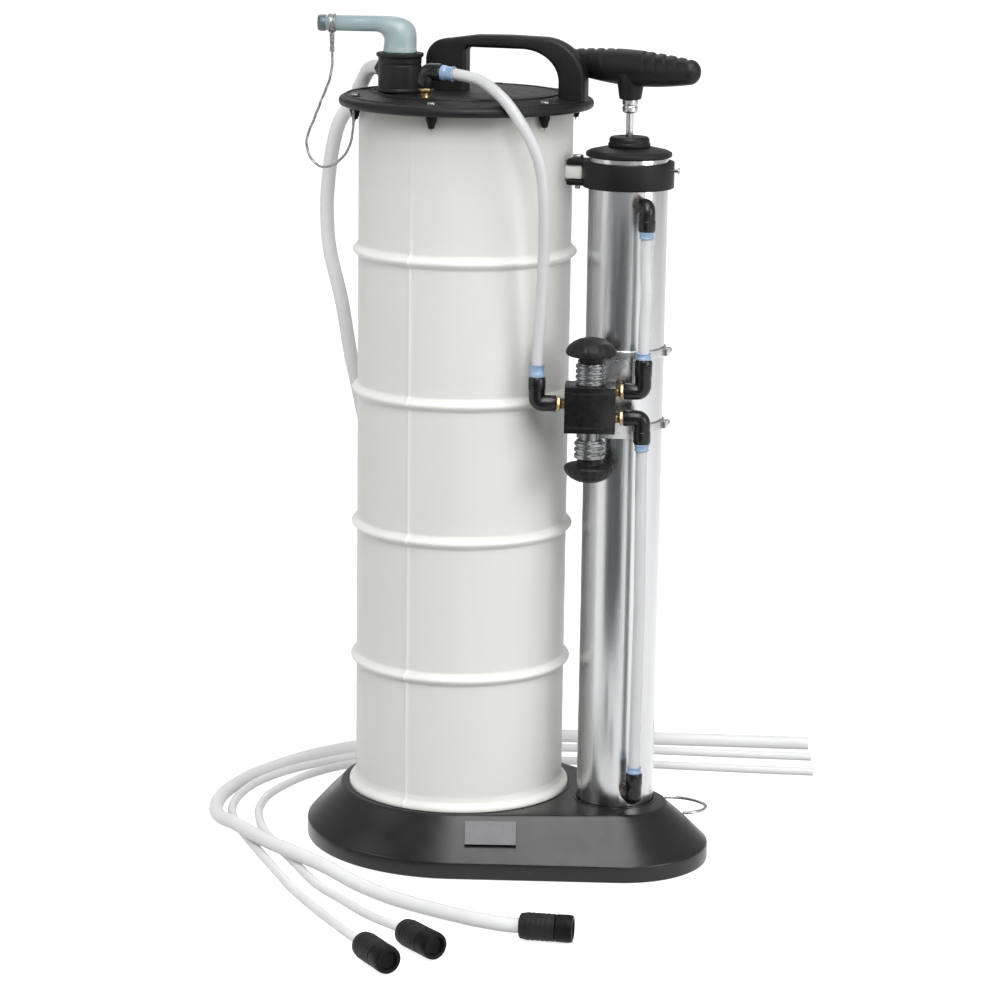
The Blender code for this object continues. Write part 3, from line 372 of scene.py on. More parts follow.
def frames(points):
    """Two side vectors at each point of a line, carried along it without twist."""
    points = [Vector(p) for p in points]
    side = None
    found = []
    for i, point in enumerate(points):
        way = points[min(i + 1, len(points) - 1)] - points[max(i - 1, 0)]
        way.normalize()
        if side is None:
            guide = Vector((0, 0, 1)) if abs(way.z) < 0.9 else Vector((0, 1, 0))
            side = way.cross(guide)
        side = (side - way * side.dot(way)).normalized()
        found.append((side, way.cross(side)))
    return found


def sweep(points, radii, count=20, sharp=38.0):
    """A closed round body along a line, with a radius at each point."""
    rings = []
    for point, radius, (a, b) in zip(points, radii, frames(points)):
        rings.append(ellipse(point, a * radius, b * radius, count))
    return loft(rings, sharp=sharp)


def hollow_tube(points, outer, inner, count=18):
    """A tube with a wall, open at both ends."""
    sides = frames(points)
    outside = [ellipse(p, a * outer, b * outer, count) for p, (a, b) in zip(points, sides)]
    inside = [ellipse(p, a * inner, b * inner, count) for p, (a, b) in zip(points, sides)]
    return loft(outside + inside[::-1], closed=True, sharp=50.0)


def smooth_route(points, spacing):
    points = [Vector(p) for p in points]
    padded = [points[0] * 2 - points[1]] + points + [points[-1] * 2 - points[-2]]
    fine = []
    for a, b, c, d in zip(padded, padded[1:], padded[2:], padded[3:]):
        for i in range(24):
            t = i / 24
            bend = (2 * a - 5 * b + 4 * c - d) * t**2 + (3 * b - 3 * c + d - a) * t**3
            fine.append(0.5 * (2 * b + (c - a) * t + bend))
    fine.append(points[-1])
    lengths = [0]
    for p, q in zip(fine, fine[1:]):
        lengths.append(lengths[-1] + (q - p).length)
    count = max(2, round(lengths[-1] / spacing))
    route = []
    place = 0
    for i in range(count + 1):
        wanted = lengths[-1] * i / count
        while place < len(fine) - 2 and lengths[place + 1] < wanted:
            place += 1
        span = lengths[place + 1] - lengths[place]
        route.append(fine[place].lerp(fine[place + 1], (wanted - lengths[place]) / span))
    return route


def arc(centre, radii, start, end, steps):
    angles = [radians(start + (end - start) * i / steps) for i in range(steps + 1)]
    return [(centre[0] + radii[0] * cos(a), centre[1] + radii[1] * sin(a)) for a in angles]


def toward(angle, distance, z=0):
    return Vector((distance * cos(angle), distance * sin(angle), z))


# ---- pieces ----
def piece(name, mesh, skin, body="frame", nodes=(), at=ORIGIN, turn=0, way=None, slot=None):
    """A finished piece that rides on a body and stands for the named CAD nodes."""
    slot = slot or SLOTS[skin.name]
    nodes = (nodes,) if isinstance(nodes, str) else nodes
    made = add(name, mesh)
    made.location = at
    made.rotation_euler = (0, 0, turn)
    if way is not None:
        made.rotation_euler = Vector(way).to_track_quat("Z", "Y").to_euler()
    if not mesh.materials:
        mesh.materials.append(skin)
    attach(made, body)
    if nodes:
        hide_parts(*nodes)
    return made


def carve(made, mesh, at=ORIGIN, turn=0, operation="DIFFERENCE"):
    """Cuts a shape out of a piece, or joins it on, for good."""
    tool = add("tool", mesh)
    tool.location = at
    tool.rotation_euler = (0, 0, turn)
    step = made.modifiers.new("step", "BOOLEAN")
    step.operation = operation
    step.solver = "EXACT"
    step.object = tool
    settle(made)
    bpy.data.objects.remove(tool, do_unlink=True)


def settle(made, sharp=38.0):
    """Applies a piece's modifiers."""
    bpy.context.view_layer.update()
    graph = bpy.context.evaluated_depsgraph_get()
    mesh = bpy.data.meshes.new_from_object(made.evaluated_get(graph), depsgraph=graph)
    made.modifiers.clear()
    made.data = mesh
    mesh.shade_smooth()
    mesh.set_sharp_from_angle(angle=radians(sharp))


def soften(made, width, segments=3, angle=45.0):
    step = made.modifiers.new("soften", "BEVEL")
    step.width = width
    step.segments = segments
    step.limit_method = "ANGLE"
    step.angle_limit = radians(angle)
    settle(made)


def rod(start, end, radius, count=32):
    return sweep([start, end], [radius, radius], count)


def upright(spot, low, high, radius, count=32):
    """A rod that stands at a spot, between two heights."""
    return rod((spot[0], spot[1], low), (spot[0], spot[1], high), radius, count)


# ---- hoses and tubes ----
COIL_CENTRE = Vector((-0.015, 0.405, 0))
COIL_START = radians(198.9)
COIL_TURNS, COIL_STEPS = 1.5, 36
COIL_RADIUS, COIL_GROWTH = 0.0588, 0.0132
FLOOR_HOSE_Z = 0.0068
DROP, DROP_TURNS = 0.0144, 0.162  # the hose comes down this far, over this part of a turn
LEAD_OUT = ((0.0665, 0.404), (0.069, 0.38), (0.066, 0.356), (0.056, 0.333), (0.04, 0.3165))


def coil_route():
    """The spare hose: down onto the floor, round in a flat spiral, and off to its connector."""
    points = []
    for i in range(2, COIL_STEPS + 1):
        t = COIL_TURNS * i / COIL_STEPS
        angle = COIL_START - 2 * pi * t
        z = FLOOR_HOSE_Z + DROP * max(0, 1 - t / DROP_TURNS) ** 2
        points.append(COIL_CENTRE + toward(angle, COIL_RADIUS + COIL_GROWTH * t, z))
    points += [Vector((x, y, 0.007)) for x, y in LEAD_OUT]
    points += [Vector((0.024, 0.309, 0.01)), Vector((0.0125, 0.307, CONNECTOR_Z))]
    return points


def suction_route():
    start = Vector((SOCKET.x, SOCKET.y, 0.703)) + HOSE_PORT_WAY * 0.0378
    route = [
        start, start + HOSE_PORT_WAY * 0.006, (-0.0835, 0.0235, 0.7022), (-0.09, 0.04, 0.6985),
        (-0.0955, 0.06, 0.6905), (-0.102, 0.074, 0.678), (-0.1085, 0.083, 0.664),
        (-0.1205, 0.087, 0.6475), (-0.1278, 0.088, 0.62), (-0.1318, 0.089, 0.586),
        (-0.1326, 0.09, 0.561), (-0.1298, 0.09, 0.5276), (-0.1185, 0.091, 0.4784),
        (-0.1109, 0.093, 0.4316), (-0.1033, 0.099, 0.393), (-0.093, 0.122, 0.325),
        (-0.085, 0.162, 0.24), (-0.079, 0.218, 0.155), (-0.0755, 0.28, 0.09),
        (-0.0735, 0.335, 0.048), (-0.0712, 0.385, 0.0212),
    ]
    return smooth_route(route + coil_route(), 0.006)


LARGE_ROUTE = (
    (0.337, 0.287), (0.26, 0.288), (0.17, 0.289), (0.08, 0.289), (0, 0.282),
    (-0.065, 0.262), (-0.121, 0.229), (-0.162, 0.194), (-0.194, 0.152), (-0.214, 0.116),
    (-0.228, 0.071), (-0.23, 0.028, 0.0006), (-0.221, -0.01, 0.0036),
    (-0.203, -0.044, 0.0086), (-0.182, -0.073, 0.0087), (-0.163, -0.097, 0.0087),
    (-0.136, -0.125, 0.0087), (-0.108, -0.153, 0.0074), (-0.082, -0.177, 0.003),
    (-0.056, -0.199, 0.0005), (-0.031, -0.2205, 0.0008), (0, -0.245, 0.0024),
    (0.015, -0.2575, 0.0038), (0.03, -0.269, 0.005), (0.05, -0.2785, 0.0055),
)
MIDDLE_ROUTE = (
    (0.338, 0.249), (0.26, 0.252), (0.17, 0.256), (0.08, 0.256), (0.005, 0.251),
    (-0.06, 0.236), (-0.112, 0.2105), (-0.152, 0.18), (-0.184, 0.146), (-0.205, 0.1075),
    (-0.2145, 0.0675), (-0.215, 0.03), (-0.2065, -0.007), (-0.192, -0.047), (-0.1735, -0.092),
    (-0.152, -0.143), (-0.132, -0.189), (-0.1068, -0.2407, 0.0017), (-0.0937, -0.2693, 0.0042),
    (-0.0777, -0.303, 0.007),
)
INNER_ROUTE = (
    (0.338, 0.199), (0.26, 0.203), (0.17, 0.209), (0.08, 0.214), (0, 0.212),
    (-0.062, 0.203), (-0.112, 0.184), (-0.141, 0.161), (-0.165, 0.128), (-0.1845, 0.083),
    (-0.19, 0.042), (-0.187, 0.01), (-0.177, -0.031), (-0.16, -0.071), (-0.139, -0.118),
    (-0.1135, -0.1725), (-0.0863, -0.2133, 0.0007), (-0.0675, -0.2478, 0.0037),
    (-0.0536, -0.2694, 0.0058), (-0.0395, -0.2875, 0.0077),
)
LOOSE_TUBES = (
    ("tube_large", SUCTION_HOSE, LARGE_ROUTE, (0.0695, -0.283), (0.115, -0.288)),
    ("tube_middle", SMALL_TUBE, MIDDLE_ROUTE, (-0.058, -0.337), (-0.033, -0.3755)),
    ("tube_inner", SMALL_TUBE, INNER_ROUTE, (-0.026, -0.304), (0.003, -0.3395)),
)


def build_connector(name, tail, nose, node):
    """A soft round coupling with a rolled lip, a waist and grip rings."""
    tail, nose = Vector((*tail, CONNECTOR_Z)), Vector((*nose, CONNECTOR_Z))
    long = (nose - tail).length
    outline = [(0, 0), (0.0088, 0), (0.0108, 0.0012), (0.0112, 0.004)]
    for i in range(5):
        z = 0.006 + 0.0042 * i
        outline += [(0.01155, z), (0.0118, z + 0.0008), (0.0118, z + 0.0024), (0.01155, z + 0.0032)]
    outline += [(0.0116, 0.028), (0.0118, long - 0.0155), (0.0106, long - 0.015), (0, long - 0.015)]
    sleeve = [
        (0, long - 0.0149), (0.011, long - 0.0149), (0.0117, long - 0.0142), (0.0119, long - 0.004),
        (0.0114, long - 0.0006), (0.0104, long), (0.008, long), (0.0072, long - 0.004),
    ]
    mesh = turned(sleeve + [(0, long - 0.004)], 48, radius=0.0008)
    tip = piece(f"{name}_nose", mesh, DARK_RUBBER, at=tail, way=nose - tail)
    mesh = turned(outline, 48, radius=0.0005)
    return [piece(name, mesh, RUBBER, nodes=node, at=tail, way=nose - tail), tip]


def build_hoses():
    route = suction_route()
    hose = piece(
        "suction_hose_run", hollow_tube(route, SUCTION_HOSE / 2, 0.0045), CLEAR,
        nodes=("suction_hose", "suction_coil"),
    )
    ending = build_connector("suction_coupling", (0.012, 0.307), (-0.034, 0.307), "suction_connector")
    for name, diameter, points, tail, nose in LOOSE_TUBES:
        way = (Vector(nose) - Vector(tail)).normalized()
        end = Vector(tail) - way * 2 * GAP
        route = [(x, y, diameter / 2 + GAP + sum(lift)) for x, y, *lift in points]
        for back in (0.008, 0):
            route.append((*(end - way * back), CONNECTOR_Z))
        route = smooth_route(route, 0.006)
        wall = 0.0019 if diameter > 0.01 else 0.0012
        tube = piece(
            f"{name}_run", hollow_tube(route, diameter / 2, diameter / 2 - wall, 16), CLEAR, nodes=name,
        )
        ending = build_connector(f"{name}_coupling", tail, nose, f"{name}_connector")


def elbow_mouth(name):
    return Vector(next(e for e in ELBOWS if e[0] == name)[3])


def build_air_lines():
    lid = next(e for e in ELBOWS if e[0] == "lid")
    mouth, onward = Vector(lid[3]), (Vector(lid[3]) - Vector(lid[2])).normalized()
    valve = elbow_mouth("valve_tank")
    route = [
        mouth - onward * PLUGGED, mouth + onward * 0.014, (0.0145, -0.0825, 0.702),
        (0.0285, -0.096, 0.695), (0.0408, -0.107, 0.685), (0.0517, -0.1145, 0.6712),
        (0.0615, -0.118, 0.6555), (0.0685, -0.119, 0.6395), (0.0727, -0.1175, 0.62),
        (0.0745, -0.1125, 0.588), (0.0742, -0.106, 0.548), (0.0722, -0.099, 0.503),
        valve + UP * 0.02, valve - UP * PLUGGED,
    ]
    runs = [("vacuum_line", route)]
    for name, low, high in (
        ("air_line_upper", "valve_upper", "pump_top"),
        ("air_line_lower", "pump_bottom", "valve_lower"),
    ):
        low, high = elbow_mouth(low), elbow_mouth(high)
        bow = (low + high) / 2 + Vector((0.0012, -0.0008, 0))
        route = [low - UP * PLUGGED, low + UP * 0.03, bow, high - UP * 0.03, high + UP * PLUGGED]
        runs.append((name, route))
    for name, route in runs:
        route = smooth_route(route, 0.005)
        mesh = hollow_tube(route, AIR_LINE / 2, 0.0033, 18)
        piece(f"{name}_run", mesh, AIR_TUBE, nodes=name)


# ---- elbows ----
VALVE_HALF = 0.02215
VALVE_RIGHT = VALVE.x + VALVE_HALF
VALVE_LEFT = VALVE.x - VALVE_HALF
TANK_PORT_Z, UPPER_PORT_Z, LOWER_PORT_Z = 0.424, 0.436, 0.4125
PUMP_PORTS = (0.5965, 0.0665)
SUNK = 0.006  # how far a brass stub goes into the valve block
LINE_X = 0.1622
LINE_Y = VALVE.y
PORT_SIDE = atan2(LINE_Y - PUMP.y, LINE_X - PUMP.x)


def pump_port(height):
    return tuple(PUMP + toward(PORT_SIDE, 0.0337, height))


def line_elbow(name, port, x, mouth_z, thread, collar):
    """An elbow that turns a sideways port up or down, at x in the plane of the air lines."""
    return name, port, (x, LINE_Y, port[2]), (x, LINE_Y, mouth_z), thread, collar


# name, port, corner, mouth, thread length, collar length
ELBOWS = (
    (
        "lid", (*VENT, 0.679), (*VENT, 0.7075), (VENT[0] + 0.0135, VENT[1] - 0.005, 0.7065),
        0.0135, 0.012,
    ),
    line_elbow("valve_tank", (VALVE_LEFT + SUNK, LINE_Y, TANK_PORT_Z), 0.07, 0.447, 0.013, 0.011),
    line_elbow("valve_upper", (VALVE_RIGHT - SUNK, LINE_Y, UPPER_PORT_Z), LINE_X, 0.464, 0.0125, 0.006),
    line_elbow("valve_lower", (VALVE_RIGHT - SUNK, LINE_Y, LOWER_PORT_Z), LINE_X, 0.39, 0.0125, 0.006),
    line_elbow("pump_top", pump_port(PUMP_PORTS[0]), LINE_X, 0.576, 0.006, 0.006),
    line_elbow("pump_bottom", pump_port(PUMP_PORTS[1]), LINE_X, 0.09, 0.006, 0.006),
)


def build_elbow(name, port, corner, mouth, thread, collar):
    port, corner, mouth = Vector(port), Vector(corner), Vector(mouth)
    inward, onward = (corner - port).normalized(), (mouth - corner).normalized()
    body, bend = 0.0072, 0.006
    line = [port + inward * (thread + 0.0002), port + inward * (thread + 0.0006)]
    line += [port + inward * (thread + 0.0012)]
    radii = [body - 0.0012, body - 0.0003, body]
    first = corner - inward * bend
    last = corner + onward * bend
    if (first - line[-1]).dot(inward) > 0.0005:
        line.append(first)
        radii.append(body)
    for k in range(1, 9):
        t = k / 8
        line.append(first * (1 - t) ** 2 + corner * 2 * t * (1 - t) + last * t * t)
        radii.append(body)
    long = (mouth - last).length
    for share, swell in ((0.35, 0), (0.38, 0.0004), (0.92, 0.0004), (1.0, -0.0004)):
        line.append(last + onward * long * share)
        radii.append(body + swell)
    line += [mouth - onward * 0.0001, mouth - onward * 0.004]
    radii += [0.0055, 0.0055]
    piece(f"elbow_{name}_body", sweep(line, radii, 36), GLOSS, nodes=f"elbow_{name}")
    build_nipple(name, port, inward, thread)
    ring = [
        (0.0054, GAP), (0.0067, GAP), (0.0067, collar * 0.3), (0.006, collar * 0.42),
        (0.006, collar * 0.8), (0.0066, collar * 0.88), (0.0066, collar), (0.0054, collar),
    ]
    mesh = turned(ring, 40, ring=True, radius=0.0003)
    piece(f"collar_{name}_ring", mesh, BLUE, nodes=f"collar_{name}", at=mouth, way=onward)


def build_nipple(name, port, inward, thread):
    """The brass stub and its hexagon between an elbow and what it screws into."""
    stub = [(0, 0), (0.0044, 0)]
    count = max(2, int(thread / 0.0012))
    for i in range(count):
        z = thread * (i + 0.5) / count
        stub += [(0.0048, z - thread * 0.1 / count), (0.0044, z + thread * 0.4 / count)]
    stub += [(0.0044, thread), (0, thread)]
    mesh = turned(stub, 32, radius=0)
    piece(f"nipple_{name}", mesh, BRASS, at=port, way=inward)
    spot = port + inward * (thread - 0.0029)
    nut = piece(f"hexagon_{name}", disc(0.0068, 0, 0.0028, 6), BRASS, at=spot, way=inward)
    soften(nut, 0.0004, 2, 30.0)


# ---- base ----
def egg(ends, shrink, left_steps=90, right_steps=60):
    (x0, y0, r0), (x1, y1, r1) = ends
    r0, r1 = r0 - shrink, r1 - shrink
    lean = atan2(y1 - y0, x1 - x0)
    reach = acos((r0 - r1) / hypot(x1 - x0, y1 - y0))
    points = []
    for i in range(right_steps + 1):
        a = lean - reach + 2 * reach * i / right_steps
        points.append((x1 + r1 * cos(a), y1 + r1 * sin(a)))
    for i in range(left_steps + 1):
        a = lean + reach + 2 * (pi - reach) * i / left_steps
        points.append((x0 + r0 * cos(a), y0 + r0 * sin(a)))
    return points


def between(low, high, share):
    """Ends part of the way from one pair of round ends to another."""
    return tuple(tuple(a + (b - a) * share for a, b in zip(p, q)) for p, q in zip(low, high))


def build_base():
    inner = ((TOP, 0.004, BASE_HEIGHT - 0.0082), (RIM, 0.003, BASE_RIM - 0.002), (RIM, 0.003, 0.0006))
    outer = [
        (RIM, 0.001, 0.0006), (RIM, 0.0002, 0.0012), (RIM, 0, 0.0022), (RIM, 0, BASE_RIM - 0.002),
        (RIM, 0.0003, BASE_RIM - 0.0009), (RIM, 0.0011, BASE_RIM - 0.0002),
        (between(RIM, TOP, 0.05), 0.0006, BASE_RIM + 0.0012),
        (between(RIM, TOP, 0.5), 0, (BASE_RIM + BASE_HEIGHT) / 2),
        (TOP, -0.0016, BASE_HEIGHT - 0.0021), (TOP, -0.0008, BASE_HEIGHT - 0.0009),
        (TOP, 0.0004, BASE_HEIGHT - 0.0002), (TOP, 0.0016, BASE_HEIGHT),
    ]
    rings = [[(x, y, z) for x, y in egg(ends, shrink)] for ends, shrink, z in (*inner, *outer)]
    base = piece("base_moulding", loft(rings, sharp=24.0), BASE_SATIN, nodes="base_shell")
    for x, y, radius in ((0, 0, FOOT_RADIUS + 0.0006), (PUMP.x, PUMP.y, PUMP_RADIUS + 0.0005)):
        carve(base, upright((x, y), BASE_HEIGHT - 0.0045, BASE_HEIGHT + 0.01, radius, 128))
    for x, y, radius in ((0, 0, FOOT_RADIUS + 0.001), (PUMP.x, PUMP.y, PUMP_RADIUS + 0.0009)):
        lip = [
            (radius, BASE_HEIGHT - 0.0002), (radius + 0.0022, BASE_HEIGHT - 0.0002),
            (radius + 0.002, BASE_HEIGHT + 0.0006), (radius + 0.0002, BASE_HEIGHT + 0.0006),
        ]
        mesh = turned(lip, 128, ring=True, radius=0.0003)
        name = "tank_seat_lip" if radius > 0.05 else "pump_seat_lip"
        piece(name, mesh, BASE_SATIN, at=(x, y, 0))


# ---- tank and lid ----
MOULD_LINES = (-116.3, 63.7)


def tank_shape(angle, radius, height):
    """Two fine mould lines run up the tank on opposite sides."""
    if height > 0.668 or height < 0.05 or radius < 0.094:
        return radius
    turns = [(angle - radians(line) + pi) % (2 * pi) for line in MOULD_LINES]
    off = min(abs(turn - pi) for turn in turns)
    return radius + 0.0011 * exp(-((off / 0.0125) ** 2))


def build_tank():
    outline = [
        (0, 0.0458), (0.099, 0.0458), (0.1008, 0.0476), (0.101, 0.052), (0.1, 0.054),
        (0.0965, 0.057), (TANK_RADIUS, 0.062),
    ]
    for z in RIB_HEIGHTS:
        outline += [(TANK_RADIUS, z - 0.0085)]
        for step in range(-6, 7):
            t = step / 6
            outline.append((TANK_RADIUS + 0.0052 * cos(t * pi / 2) ** 1.5, z + t * 0.0062))
        outline += [(TANK_RADIUS, z + 0.0085)]
    outline += [
        (TANK_RADIUS, 0.6716), (0.1055, 0.672), (0.1055, TANK_TOP), (0.0925, TANK_TOP),
        (0.0925, 0.05), (0, 0.049),
    ]
    mesh = turned(outline, 480, radius=0.0011, shape=tank_shape)
    tank = piece("tank_body", mesh, MILKY, nodes="tank")
    lug = box(TANK_RADIUS - 0.0015, 0.1095, -0.008, 0.008, 0.6127, 0.6244)
    made = piece("tank_lug", lug, MILKY, turn=PUMP_SIDE)
    soften(made, 0.0012)
    bolt = toward(PUMP_SIDE, CLAMP_REACH)
    carve(made, upright(bolt, 0.6, 0.64, BOLT_HOLE))
    for degrees in SCREW_ANGLES:
        spot = toward(radians(degrees), SCREW_CIRCLE)
        carve(tank, upright(spot, 0.668, 0.68, 0.0022, 16))


def lid_top(lift=0):
    points = [
        (0, LID_TOP), (0.072, LID_TOP - 0.0003), (0.09, 0.683), (0.0975, 0.6806), (0.104, 0.6808),
        (0.1085, 0.6808), (0.112, 0.6788), (0.113, 0.6762),
    ]
    return [(r, z + lift) for r, z in points]


def build_lid():
    outline = lid_top()
    outline += [
        (0.1122, 0.6728), (0.11, 0.6717), (0.1062, 0.6717), (0.1062, 0.6766), (0.0918, 0.6766),
        (0.0918, 0.669), (0.089, 0.669), (0.089, 0.6785), (0, 0.6785),
    ]
    lid = piece("lid_cover", turned(outline, 144, radius=0.0012), SATIN, nodes="lid")
    carve(lid, upright(SOCKET, 0.65, 0.7, 0.0124))
    carve(lid, upright(VENT, 0.65, 0.7, PORT_RADIUS))
    for degrees in SCREW_ANGLES:
        spot = toward(radians(degrees), SCREW_CIRCLE)
        carve(lid, upright(spot, 0.665, 0.69, 0.0021, 16))
    for radius, width in ((0.083, 0.0016), (0.1062, 0.0018)):
        top = 0.6842 if radius < 0.1 else 0.6808
        bead = [
            (radius - width, top - 0.0004), (radius + width, top - 0.0006),
            (radius + width * 0.6, top + 0.0009), (radius - width * 0.6, top + 0.001),
        ]
        mesh = turned(bead, 144, ring=True, radius=0.0006)
        piece(f"lid_bead_{round(radius * 1000)}", mesh, SATIN)
    build_lid_screws()


def build_lid_screws():
    outline = [(0, 0.6575), (0.0009, 0.6605), (0.0016, 0.666)]
    for i in range(9):
        outline += [(0.002, 0.6664 + 0.0008 * i), (0.0016, 0.6668 + 0.0008 * i)]
    outline += [
        (0.0018, 0.674), (0.0018, 0.6814), (0.0042, 0.6814), (0.0041, 0.6828), (0.003, 0.6837),
    ]
    mesh = turned(outline + [(0, 0.684)], 28, radius=0.0002)
    nut = [(0.0018, 0.6716), (0.0048, 0.6716), (0.0047, 0.6685), (0.0036, 0.665), (0.0026, 0.661)]
    nut = turned(nut + [(0.0018, 0.6606)], 32, ring=True, radius=0.0004)
    for i, degrees in enumerate(SCREW_ANGLES):
        spot = toward(radians(degrees), SCREW_CIRCLE)
        made = piece(
            f"lid_screw_body_{i + 1}", mesh.copy(), DARK_STEEL, nodes=f"lid_screw_{i + 1}", at=spot,
        )
        piece(f"lid_nut_{i + 1}", nut.copy(), DARK_RUBBER, at=spot, slot="black_plastic")
        for turn in (20.0, 110.0):
            slot = box(-0.0026, 0.0026, -0.00045, 0.00045, 0.6826, 0.685)
            carve(made, slot, spot, radians(turn + degrees))


def build_handle():
    foot = 0.67
    outline = [(-0.036, foot), (-0.036, 0.712)]
    outline += arc((-0.017, 0.712), (0.019, 0.0185), 180, 90, 14)[1:]
    outline += [(0.01, 0.7345), (0.04, 0.7352), (0.07, 0.7345)]
    outline += arc((0.07, 0.697), (0.0404, 0.0375), 90, 0, 22)[1:]
    outline += [(0.1104, foot), (0.0864, foot), (0.0864, 0.697)]
    outline += arc((0.052, 0.697), (0.0342, 0.0267), 0, 90, 18)[1:]
    outline += [(0.005, 0.7237)]
    outline += arc((0.005, 0.7197), (0.004, 0.004), 90, 180, 6)[1:]
    outline += [(0.001, foot)]
    rings = [[(s, y, z) for s, z in outline] for y in (-0.009, 0.009)]
    handle = piece("handle_bar", loft(rings), SATIN, nodes="carry_handle", turn=PUMP_SIDE)
    soften(handle, 0.0034, 4, 60.0)
    trim = lid_top(GAP) + [(0.133, 0.6762), (0.133, 0.64), (0, 0.64)]
    carve(handle, turned(trim, 144, radius=0))


# ---- spout ----
def build_socket():
    outline = [
        (0, 0.662), (0.012, 0.662), (0.012, LID_TOP + GAP), (0.02, LID_TOP + GAP), (0.02, 0.688),
        (0.019, 0.6888), (0.019, 0.7085), (0.0186, 0.709), (0.0186, 0.7102), (0.019, 0.7107),
        (0.019, 0.7155), (0.0207, 0.7163), (0.0207, 0.7195), (0.0152, 0.7195), (0.0152, 0.7),
        (0, 0.7),
    ]
    piece("socket_body", turned(outline, 96), SATIN, nodes="spout_socket", at=SOCKET)
    start = Vector((SOCKET.x, SOCKET.y, 0.703))
    outline = [
        (0, 0), (0.0066, 0), (0.0066, 0.0045), (0.0088, 0.0045), (0.0088, 0.019), (0.0076, 0.0205),
        (0, 0.0205),
    ]
    nut = turned(outline, 6, radius=0)
    made = piece("hose_nut", nut, SATIN, at=start + HOSE_PORT_WAY * 0.017, way=HOSE_PORT_WAY)
    soften(made, 0.0006, 2, 30.0)


def spout_rings(count=56):
    stem, arm = 0.0145, 0.0069
    corner = Vector((-0.0215, 0, 0.7295))
    near_reach = SPOUT_ARM_Z - arm - corner.z
    rings = []
    for radius, z in (
        (0.0112, 0.701), (0.0118, 0.7016), (0.0118, 0.7196),
        (0.0148, 0.7202), (0.0149, 0.7216), (stem, 0.7222),
    ):
        rings.append(ellipse((0, 0, z), (radius, 0, 0), (0, radius, 0), count))
    steps = 26
    for i in range(steps + 1):
        angle = radians(90 * i / steps)
        way = Vector((cos(angle), 0, sin(angle)))
        reach_x, reach_z = stem - corner.x, SPOUT_ARM_Z + arm - corner.z
        outer = (abs(way.x / reach_x) ** 3.2 + abs(way.z / reach_z) ** 3.2) ** (-1 / 3.2)
        near, far = corner + way * near_reach, corner + way * outer
        width = stem + (arm - stem) * (i / steps) ** 1.4
        rings.append(ellipse((near + far) / 2, (far - near) / 2, (0, width, 0), count))
    for x, radius in (
        (-0.0335, arm), (-0.063, arm), (-0.0634, arm - 0.0004), (-0.065, arm - 0.0004),
        (-0.065, arm - 0.0018), (-0.057, arm - 0.0018),
    ):
        rings.append(ellipse((x, 0, SPOUT_ARM_Z), (0, 0, radius), (0, radius, 0), count))
    return rings


def build_spout():
    at = SOCKET
    piece("spout_moulding", loft(spout_rings(), sharp=45.0), BLUE_GREY, "spout", "pour_spout", at)
    lip = [
        (0.0051, 0), (0.0069, 0), (0.0072, 0.0004), (0.0072, 0.0046), (0.0068, 0.0064),
        (0.0062, 0.007),
    ]
    lip = turned(lip + [(0.0053, 0.007), (0.0048, 0.0064)], 56, ring=True, radius=0.0004)
    # the lip's dark colour is painted shade at the mouth
    piece("spout_lip", lip, MOUTH_SHADE_TEAL, "spout", at=(at.x - 0.065, at.y, SPOUT_ARM_Z), way=(-1, 0, 0))
    mouth = Vector((at.x - 0.0571, at.y, SPOUT_ARM_Z))
    # Painted shade: a dark disc at the bottom of the spout's shallow bore stands in for the shade deep
    # inside it.
    piece("spout_bore_shade", disc(0.0046, 0, 0.0006, 32), RUBBER, "spout", at=mouth, way=(-1, 0, 0))
    band = [
        (0.007, -0.003), (0.0081, -0.003), (0.0084, -0.0022), (0.0078, -0.0012), (0.0078, 0.0012),
        (0.0084, 0.0022), (0.0081, 0.003), (0.007, 0.003),
    ]
    band = turned(band, 40, ring=True, radius=0.0003)
    clip = (CLIP_X, at.y, SPOUT_ARM_Z)
    piece("clip_band", band, CABLE, "spout", "lanyard_clip", clip, way=(1, 0, 0))
    shank = [
        (0, 0.719), (0.0016, 0.719), (0.0021, 0.7196), (0.0021, 0.7235), (0.0017, 0.724),
        (0.0017, 0.7262), (0.0021, 0.7267), (0.0021, 0.7355), (0, 0.7366),
    ]
    piece("clip_crimp", turned(shank, 28, radius=0.0002), CABLE, "spout", at=(CLIP_X, at.y, 0))


def build_lanyard():
    """A twisted cable that hangs in a loop between the spout's clip and the lid's rim."""
    route = [
        (CLIP_X, -0.026, 0.7187), (-0.1163, -0.0265, 0.71), (-0.1184, -0.029, 0.6955),
        (-0.1257, -0.031, 0.6763), (-0.1316, -0.033, 0.6607), (-0.1374, -0.036, 0.6447),
        (-0.1362, -0.039, 0.6328), (-0.1297, -0.042, 0.6232), (-0.1206, -0.045, 0.6202),
        (-0.1102, -0.049, 0.6245), (-0.101, -0.053, 0.6345), (-0.0968, -0.055, 0.6451),
        (-0.095, -0.056, 0.6576), (-0.0948, -0.056, 0.6714),
    ]
    route = smooth_route(route, 0.0011)
    rings = []
    for i, (point, (a, b)) in enumerate(zip(route, frames(route))):
        ring = []
        for k in range(12):
            angle = 2 * pi * k / 12
            radius = 0.00104 + 0.00018 * cos(3 * angle - 0.55 * i)
            ring.append(point + a * radius * cos(angle) + b * radius * sin(angle))
        rings.append(ring)
    made = add("lanyard_cable", loft(rings, sharp=60.0))
    made.data.materials.append(CABLE)
    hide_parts("lanyard")
    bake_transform(made)


